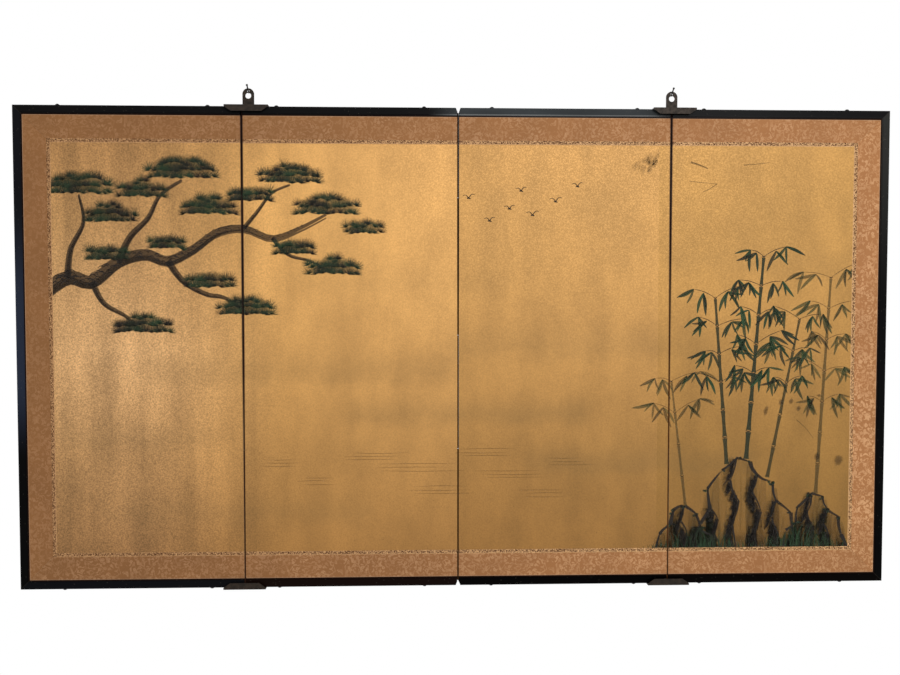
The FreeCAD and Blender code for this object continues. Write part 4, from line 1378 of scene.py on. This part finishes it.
# %% Draw the pine bough
# Each bough: its points, then how thick it is at its root and at its tip.
BOUGHS = (
    ([(-790, 560), (-735, 596), (-690, 588), (-640, 626), (-590, 640), (-548, 628), (-500, 650),
      (-455, 682), (-405, 690), (-352, 672), (-300, 690), (-250, 716)], 30, 5),
    ([(-640, 626), (-618, 672), (-584, 708), (-560, 752), (-520, 780)], 15, 4),
    ([(-548, 628), (-520, 590), (-478, 566), (-440, 558), (-402, 530)], 14, 3),
    ([(-405, 690), (-380, 720), (-352, 756), (-318, 772)], 9, 3),
    ([(-352, 672), (-322, 640), (-280, 628), (-240, 606)], 8, 2.5),
    ([(-690, 588), (-668, 548), (-628, 524), (-600, 496)], 13, 3),
    ([(-735, 596), (-728, 650), (-704, 700), (-712, 752)], 14, 4),
)
BARK_STEPS = 40
SHADED_DROP = 0.22
SHADED_WIDTH = 0.5
SCALES_FOR_SIZE = 0.55
SCALES_END = 0.92
SMALLEST_SCALE = 2.2
SCALE_FLATNESS = 0.7
SCALE_ARC = (0.2, 1.5, 2.9)
SCALE_LINE = 0.13
THINNEST_LINE = 0.7

for points, thick, thin in BOUGHS:
    shape = taper(1.0, thin / thick)
    brush(points, thick, load=0.62, solid=(1.05, 0.85), steps=BARK_STEPS, swell=shape)
    shaded = [(x, z - thick * SHADED_DROP) for x, z in points]
    brush(shaded, thick * SHADED_WIDTH, load=0.6, solid=(0.9, 0.75), steps=BARK_STEPS, swell=shape)
    for _ in range(int(len(points) * thick * SCALES_FOR_SIZE)):
        share = dice.random() * SCALES_END
        spot, way = along_curve(points, share)
        half = thick * shape(share) / 2
        middle = spot + Vector((-way.y, way.x)) * stray(0.8) * half
        size = max(SMALLEST_SCALE, half * dice.uniform(0.35, 0.7))
        lean = stray(0.5)
        arc = []
        for turn in SCALE_ARC:
            across = size * math.cos(lean + turn)
            up = size * SCALE_FLATNESS * math.sin(lean + turn)
            arc.append((middle.x + across, middle.y + up))
        brush(arc, max(THINNEST_LINE, half * SCALE_LINE), load=0.85, solid=(1.1, 0.7), steps=5)
    keep_motif()
print("boughs", drawing["strokes"], "strokes")

# %% Draw the needles
# Each cloud: across, up, its width and its height. Angles are in degrees from upright.
CLOUDS = (
    (-712, 770, 120, 44), (-655, 715, 96, 36), (-520, 800, 128, 44), (-596, 760, 90, 34),
    (-470, 730, 104, 38), (-318, 790, 112, 40), (-392, 752, 84, 30), (-250, 732, 118, 40),
    (-236, 616, 100, 34), (-310, 652, 78, 28), (-402, 540, 104, 36), (-470, 590, 88, 32),
    (-596, 506, 110, 36), (-548, 660, 70, 26), (-662, 640, 74, 28), (-180, 690, 70, 24),
)
NEEDLES = 26
NEEDLE_WIDTH = 1.15
FAN_OPENING = 156
FAN_SPACING = 9.5
FAN_RISE = 13
FAN_REACH = (13, 19)
FAN_LEAN = 22
HEIGHT_FOR_A_ROW = 22


def fan(x, z, reach, load, green, lean):
    """Needles that spring from one point."""
    for number in range(NEEDLES):
        degrees = -FAN_OPENING / 2 + FAN_OPENING * number / (NEEDLES - 1) + stray(5) + lean
        angle = math.radians(degrees)
        length = reach * (0.78 + 0.22 * math.cos(angle)) * dice.uniform(0.82, 1.1)
        tip = (x + length * math.sin(angle), z + length * math.cos(angle))
        middle = (x + length * 0.5 * math.sin(angle), z + length * 0.53 * math.cos(angle))
        brush([(x, z), middle, tip], NEEDLE_WIDTH, load=load, solid=(1.3, 1.0), green=green, steps=2,
              swell=taper(1.0, 0.25))


for x, z, wide, high in CLOUDS:
    blot((x, z + high * 0.12), wide * 1.15, high * 1.25, load=0.5, green=0.45)
    blot((x - wide * 0.18, z), wide * 0.7, high * 0.8, load=0.55, green=0.2)
    columns = round(wide / FAN_SPACING)
    for number in range(columns):
        share = (number + 0.5) / columns * 2 - 1
        crown = math.sqrt(max(0.0, 1 - share * share)) * high
        for row in range(1 + round(crown / HEIGHT_FOR_A_ROW)):
            fan_x = x + share * wide / 2 + stray(3)
            fan_z = z - high * 0.35 + row * FAN_RISE * dice.uniform(0.8, 1.1) + stray(2)
            reach = dice.uniform(*FAN_REACH)
            load = dice.uniform(0.55, 0.9)
            green = dice.uniform(0.0, 0.55)
            fan(fan_x, fan_z, reach, load, green, share * FAN_LEAN)
    keep_motif()
print("with needles", drawing["strokes"], "strokes")

# %% [markdown]
# ### Rocks and bamboo
#
# A rock is an angular outline, broken where the brush ran dry, with ridges that run down inside
# it. Slanted strokes of half-dry ink hang from each ridge on its shaded side, so the bare paper
# on the other side reads as light. Dots of moss sit on the top edges. Bamboo is drawn joint by
# joint: the brush stops at each joint and starts again, and leaves hang in threes to fives.

# %% The rocks' outlines and ridges
ROCKS = (
    {"outline": [(466, 62), (472, 120), (490, 150), (485, 188), (513, 224), (541, 248), (568, 240),
                 (583, 214), (613, 201), (620, 164), (650, 140), (655, 98), (668, 62)],
     "ridges": [[(541, 248), (530, 204), (547, 164), (534, 116), (543, 64)],
                [(583, 214), (573, 180), (591, 142), (579, 96), (588, 62)],
                [(490, 150), (506, 128), (500, 98), (512, 62)],
                [(620, 164), (612, 130), (626, 98), (620, 62)]]},
    {"outline": [(386, 62), (392, 100), (412, 118), (418, 146), (441, 155), (462, 140), (470, 112),
                 (492, 98), (500, 62)],
     "ridges": [[(441, 155), (434, 124), (446, 96), (438, 62)],
                [(470, 112), (462, 88), (470, 62)]]},
    {"outline": [(634, 62), (640, 106), (660, 122), (664, 152), (690, 178), (712, 172), (722, 146),
                 (744, 132), (750, 96), (764, 62)],
     "ridges": [[(690, 178), (682, 140), (696, 108), (686, 62)],
                [(722, 146), (714, 118), (726, 90), (720, 62)]]},
)
print(len(ROCKS), "rocks")

# %% How a rock is brushed
ROCK_FOOT = 62
BODY_STROKES = 26
BODY_WIDTH = 24
BODY_START = 3
BODY_STRAY = 4
OUTLINE_WEIGHT = 7.0
RIDGE_WEIGHT = 4.0
BOW_STRAY = 3.2
WASH_SPACING = 13
WASH_ASIDE = (9, 10)
WASH_SIZE = (26, 34)
SHADE_SPACING = 4.5
SHADE_ASIDE = (0.5, 7.0)
SHADE_LENGTH = (12, 22)
SHADE_GROWS = 8
SHADE_FOOT = 60
SHADE_WIDTH = (4.5, 9.0)


def rock_body(outline):
    """Broad pale strokes from the top edge down to the ground, which give the rock its weight."""
    for number in range(1, BODY_STROKES):
        top, _ = along_curve(outline, number / BODY_STROKES)
        height = top.y - ROCK_FOOT
        middle = (top.x + stray(BODY_STRAY), ROCK_FOOT + height * 0.55)
        foot = (top.x + stray(2 * BODY_STRAY), ROCK_FOOT)
        brush([(top.x, top.y - BODY_START), middle, foot], BODY_WIDTH, load=dice.uniform(0.1, 0.24),
              solid=(1.2, 0.6), green=dice.uniform(0.0, 0.3), steps=12, swell=taper(0.45, 1.0))


def contour(points, width):
    """An outline in one stroke for each side, each with its own weight and its own dry end."""
    for first, second in zip(points, points[1:]):
        bow = (Vector(first) + Vector(second)) / 2
        bow += Vector((stray(BOW_STRAY), stray(BOW_STRAY)))
        beyond = Vector(second) + (Vector(second) - bow) * dice.uniform(0.0, 0.12)
        brush([first, bow, beyond], width * dice.uniform(0.6, 1.25), load=dice.uniform(0.75, 0.95),
              solid=(1.25, dice.uniform(0.3, 0.9)), steps=10, swell=taper(1.0, dice.uniform(0.25, 0.6)))


def shade_ridge(points):
    """Slanted half-dry strokes and a wash on the left of a ridge, longer towards its foot."""
    drop = points[0][1] - points[-1][1]
    for number in range(round(drop / WASH_SPACING)):
        spot, _ = along_curve(points, number * WASH_SPACING / drop)
        blot((spot.x - WASH_ASIDE[0], spot.y - WASH_ASIDE[1]), *WASH_SIZE, load=0.36, green=0.1)
    strokes = round(drop / SHADE_SPACING)
    for number in range(strokes):
        share = (number + dice.random()) / strokes
        spot, _ = along_curve(points, share)
        x = spot.x - dice.uniform(*SHADE_ASIDE)
        length = dice.uniform(*SHADE_LENGTH) + SHADE_GROWS * share
        tail = (x - length * dice.uniform(0.25, 0.55), max(SHADE_FOOT, spot.y - length))
        middle = (x - length * 0.1, (spot.y + tail[1]) / 2)
        brush([(x, spot.y), middle, tail], dice.uniform(*SHADE_WIDTH), load=dice.uniform(0.4, 0.75),
              solid=(1.1, 0.35), steps=8, swell=taper(1.0, 0.5))


print("each ridge is shaded every", SHADE_SPACING, "mm")

# %% Draw the rocks
GROUND_WASH_RISE = 6
MOSS_DOTS = 16
MOSS_STRAY = 8
MOSS_DROP = (-1, 7)
MOSS_WIDE = (6, 10)
MOSS_HIGH = (5, 8)

for rock in ROCKS:
    outline, ridges = rock["outline"], rock["ridges"]
    foot = outline[0][1]
    left, right = outline[0][0], outline[-1][0]
    crest = max(z for _, z in outline)
    middle = ((left + right) / 2, foot + GROUND_WASH_RISE)
    blot(middle, (right - left) * 1.15, (crest - foot) * 0.5, load=0.35, green=0.1)
    rock_body(outline)
    for ridge in ridges:
        shade_ridge(ridge)
        contour(ridge, RIDGE_WEIGHT)
    contour(outline, OUTLINE_WEIGHT)
    for _ in range(MOSS_DOTS):
        x, z = dice.choice(outline[2:-2])
        middle = (x + stray(MOSS_STRAY), z - dice.uniform(*MOSS_DROP))
        wide = dice.uniform(*MOSS_WIDE)
        high = dice.uniform(*MOSS_HIGH)
        blot(middle, wide, high, load=1.0, green=dice.uniform(0, 0.4))
    keep_motif()
print("with rocks", drawing["strokes"], "strokes")

# %% How bamboo is brushed
CULMS = (
    {"foot": (522, 236), "head": (496, 560), "width": 8.5, "load": 0.72},
    {"foot": (560, 246), "head": (590, 640), "width": 9.5, "load": 0.8},
    {"foot": (602, 210), "head": (662, 520), "width": 7.5, "load": 0.62},
    {"foot": (698, 178), "head": (722, 600), "width": 8.0, "load": 0.45},
    {"foot": (442, 154), "head": (412, 400), "width": 6.0, "load": 0.4},
)
JOINT_LENGTH = 58
JOINT_DRAWN = 0.93
JOINT_GAP = 2.4
RING_WIDTH = 1.9
RING_REACH = 0.62
RING_RISE = 1.2
RING_DIP = 1.4
TWIG_WIDTH = 1.4
TWIG_REACH = (26, 58)
TWIG_BOW = 3
LEAF_WIDTH = 0.15
LEAF_LENGTH = (24, 44)
LEAF_OPENING = 62
LEAF_LEAN = 18
FIRST_LEAFY_JOINT = 2


def leaf_swell(share):
    """A leaf's width along it: narrow at the twig, broad in the middle, and pointed."""
    return math.sin(math.pi * min(0.97, 0.06 + share * 0.94)) ** 0.8


def culm_swell(share):
    """A joint's width along it: wider at both ends."""
    return 0.82 + 0.36 * abs(2 * share - 1) ** 2.5


def leaf(x, z, angle, length, load, green):
    """One bamboo leaf that hangs at an angle from upright."""
    way = Vector((math.sin(angle), -math.cos(angle)))
    side = Vector((-way.y, way.x)) * stray(0.08) * length
    middle = (x + way.x * length * 0.5 + side.x, z + way.y * length * 0.5 + side.y)
    tip = (x + way.x * length, z + way.y * length)
    brush([(x, z), middle, tip], length * LEAF_WIDTH, load=load, solid=(1.25, 0.95), green=green,
          steps=10, swell=leaf_swell)


def leafy_twigs(knot, side, load):
    """Two twigs from one joint, each with leaves at its end and half way."""
    for _ in range(2):
        reach = dice.uniform(*TWIG_REACH)
        end = knot + Vector((side * reach, reach * dice.uniform(0.15, 0.6)))
        brush([knot, (knot + end) / 2 + Vector((0, TWIG_BOW)), end], TWIG_WIDTH, load=load, steps=6)
        for spot in (end, knot + (end - knot) * 0.55):
            for _ in range(dice.choice((3, 4, 5))):
                angle = math.radians(stray(LEAF_OPENING) + side * LEAF_LEAN)
                length = dice.uniform(*LEAF_LENGTH)
                leaf_load = load * dice.uniform(0.85, 1.2)
                leaf(spot.x, spot.y, angle, length, leaf_load, dice.uniform(0.1, 0.8))
        side = -side


print(len(CULMS), "culms of bamboo")

# %% Draw the bamboo
for culm in CULMS:
    foot, head = Vector(culm["foot"]), Vector(culm["head"])
    joints = round((head - foot).length / JOINT_LENGTH)
    lean = (head - foot).normalized()
    for number in range(joints):
        low = foot + (head - foot) * (number / joints)
        high = foot + (head - foot) * ((number + JOINT_DRAWN) / joints)
        width = culm["width"] * (1 - 0.4 * number / joints)
        brush([low, (low + high) / 2, high], width, load=culm["load"], solid=(1.1, 0.8), green=0.25,
              steps=8, swell=culm_swell)
        knot = high + lean * JOINT_GAP
        ring = [knot + Vector((-width * RING_REACH, RING_RISE)), knot + Vector((0, -RING_DIP)),
                knot + Vector((width * RING_REACH, RING_RISE))]
        brush(ring, RING_WIDTH, load=0.9, steps=5)
        if number >= FIRST_LEAFY_JOINT:
            leafy_twigs(knot, 1 if number % 2 else -1, culm["load"])
    keep_motif()
print("with bamboo", drawing["strokes"], "strokes")

# %% Draw the grass at the foot of the rocks
GRASS_BLADES = 210
GRASS_ACROSS = (360, 768)
GRASS_FOOT = 63
GRASS_FOOT_STRAY = 16
GRASS_HEIGHT = (16, 52)
GRASS_WAVE = 33
GRASS_WIDTH = (1.1, 2.3)

for _ in range(GRASS_BLADES):
    x = dice.uniform(*GRASS_ACROSS)
    z = GRASS_FOOT + dice.uniform(0, GRASS_FOOT_STRAY)
    high = dice.uniform(*GRASS_HEIGHT) * (0.6 + 0.4 * math.sin(x / GRASS_WAVE))
    bend = stray(0.5) * high
    brush([(x, z), (x + bend * 0.3, z + high * 0.6), (x + bend, z + high)], dice.uniform(*GRASS_WIDTH),
          load=dice.uniform(0.4, 0.85), green=dice.uniform(0.2, 0.9), steps=5, swell=taper(1.0, 0.15))
keep_motif()
print("with grass", drawing["strokes"], "strokes")

# %% Draw the birds
BIRDS = ((60, 705), (98, 728), (142, 716), (120, 762), (186, 742), (228, 771), (20, 748))
WING_LENGTH = (9, 13)
WING_WIDTH = 2.0
BIRD_BODY_WIDTH = 3.0
BIRD_BODY = ((-3.4, -0.6), (0, 0), (4.0, -1.6))

for x, z in BIRDS:
    size = dice.uniform(*WING_LENGTH)
    left_wing = [(x - size, z + size * 0.35), (x - size * 0.45, z + size * 0.5), (x, z)]
    right_wing = [(x, z), (x + size * 0.5, z + size * 0.62), (x + size, z + size * 0.55)]
    brush(left_wing, WING_WIDTH, load=0.75, steps=6, swell=taper(0.35, 1.0))
    brush(right_wing, WING_WIDTH, load=0.75, steps=6, swell=taper(1.0, 0.35))
    brush([(x + aside, z + rise) for aside, rise in BIRD_BODY], BIRD_BODY_WIDTH, load=0.8, steps=5)
print("with birds", drawing["strokes"], "strokes")

# %% Draw the ripples
# Each patch of ripples: across, up and its length.
RIPPLES = ((-150, 262, 120), (-60, 240, 170), (60, 268, 110), (120, 226, 150), (-260, 214, 90),
           (-20, 196, 140), (220, 250, 90), (-330, 250, 70), (180, 188, 110))
RIPPLES_IN_A_PATCH = 3
RIPPLE_SPACING = 6.5
RIPPLE_WIDTH = 1.3
RIPPLE_STRAY = 12
RIPPLE_BOW = 1.6

for x, z, length in RIPPLES:
    for number in range(RIPPLES_IN_A_PATCH):
        left = x - length / 2 + stray(RIPPLE_STRAY)
        right = x + length / 2 * dice.uniform(0.4, 1.0)
        level = z - number * RIPPLE_SPACING
        middle = ((left + right) / 2, level + stray(RIPPLE_BOW))
        brush([(left, level), middle, (right, level)], RIPPLE_WIDTH, load=0.26, solid=(0.9, 0.5), steps=10)
keep_motif()
print("with ripples", drawing["strokes"], "strokes")

# %% [markdown]
# ### Marks of use
#
# A screen that has been folded and moved for decades has a few marks on the gold: thin scratches,
# brown spots where damp fingers or drops have touched it, and a dull smear near a top edge. They
# are the same strokes and blots as the ink, with less ink in them.

# %% Draw the scratches, spots and the smear
# Each scratch: its points and its width. Each spot: across, up, its width and its height.
SCRATCHES = (
    ([(446, 818), (462, 813), (479, 806)], 4.0),
    ([(443, 782), (470, 779), (497, 777)], 1.3),
    ([(497, 777), (484, 768), (469, 761)], 1.6),
    ([(549, 813), (574, 815), (599, 818)], 1.5),
    ([(658, 322), (675, 307), (692, 286)], 1.4),
)
SPOTS = (
    (627, 356, 12, 17), (647, 358, 11, 16), (662, 344, 11, 14), (702, 369, 13, 8), (742, 242, 24, 30),
    (598, 340, 12, 26), (700, 250, 16, 22),
)
SMEAR_FROM = (344, 808)
SMEAR_TO = (390, 838)
SMEAR_REACH = 12
SMEAR_STROKES = 46
SMEAR_LENGTH = (8, 22)
SMEAR_WIDTH = (4, 10)

for points, width in SCRATCHES:
    brush(points, width, load=0.42, solid=(1.2, 0.8), steps=8, swell=taper(1.0, 0.5))
for x, z, wide, high in SPOTS:
    blot((x, z), wide, high, load=0.42, turn=dice.uniform(-0.4, 0.1))
for _ in range(SMEAR_STROKES):
    share = dice.random()
    x = SMEAR_FROM[0] + (SMEAR_TO[0] - SMEAR_FROM[0]) * share + stray(SMEAR_REACH)
    z = SMEAR_FROM[1] + (SMEAR_TO[1] - SMEAR_FROM[1]) * share + stray(SMEAR_REACH)
    length = dice.uniform(*SMEAR_LENGTH)
    points = [(x, z), (x - length * 0.15, z - length * 0.6), (x - length * 0.35, z - length)]
    brush(points, dice.uniform(*SMEAR_WIDTH), load=dice.uniform(0.04, 0.12), solid=(0.8, 0.45), steps=6)
keep_motif()
print("with marks of use", drawing["strokes"], "strokes")

# %% Share the drawing out among the panels
INK_MERGE = 1e-8

for panel in PANELS:
    body = f"panel_{panel}"
    low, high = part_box(f"{body}_painting")
    part = bmesh.new()
    for motif in drawing["motifs"]:
        part.from_mesh(motif)
    for corner, outward in ((low, (-1, 0, 0)), (high, (1, 0, 0)), (low, (0, 0, -1)), (high, (0, 0, 1))):
        cut(part, corner, outward, INK_MERGE)
    face_viewer(part)
    piece = make_piece(f"{body}_ink_design", part, ink_paint)
    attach(piece, body)
    print(piece.name, len(piece.data.polygons), "faces")
drawing["sheet"].free()
for motif in drawing["motifs"]:
    bpy.data.meshes.remove(motif)

# %% [markdown]
# ## A box as plain numbers
#
# A helper turns a box's two corners into lists of numbers. The visual model has to stay in
# the box of the imported frame.

# %% A box as plain numbers
def plain(box):
    """A box's two corners as lists of numbers."""
    return [list(corner) for corner in box]
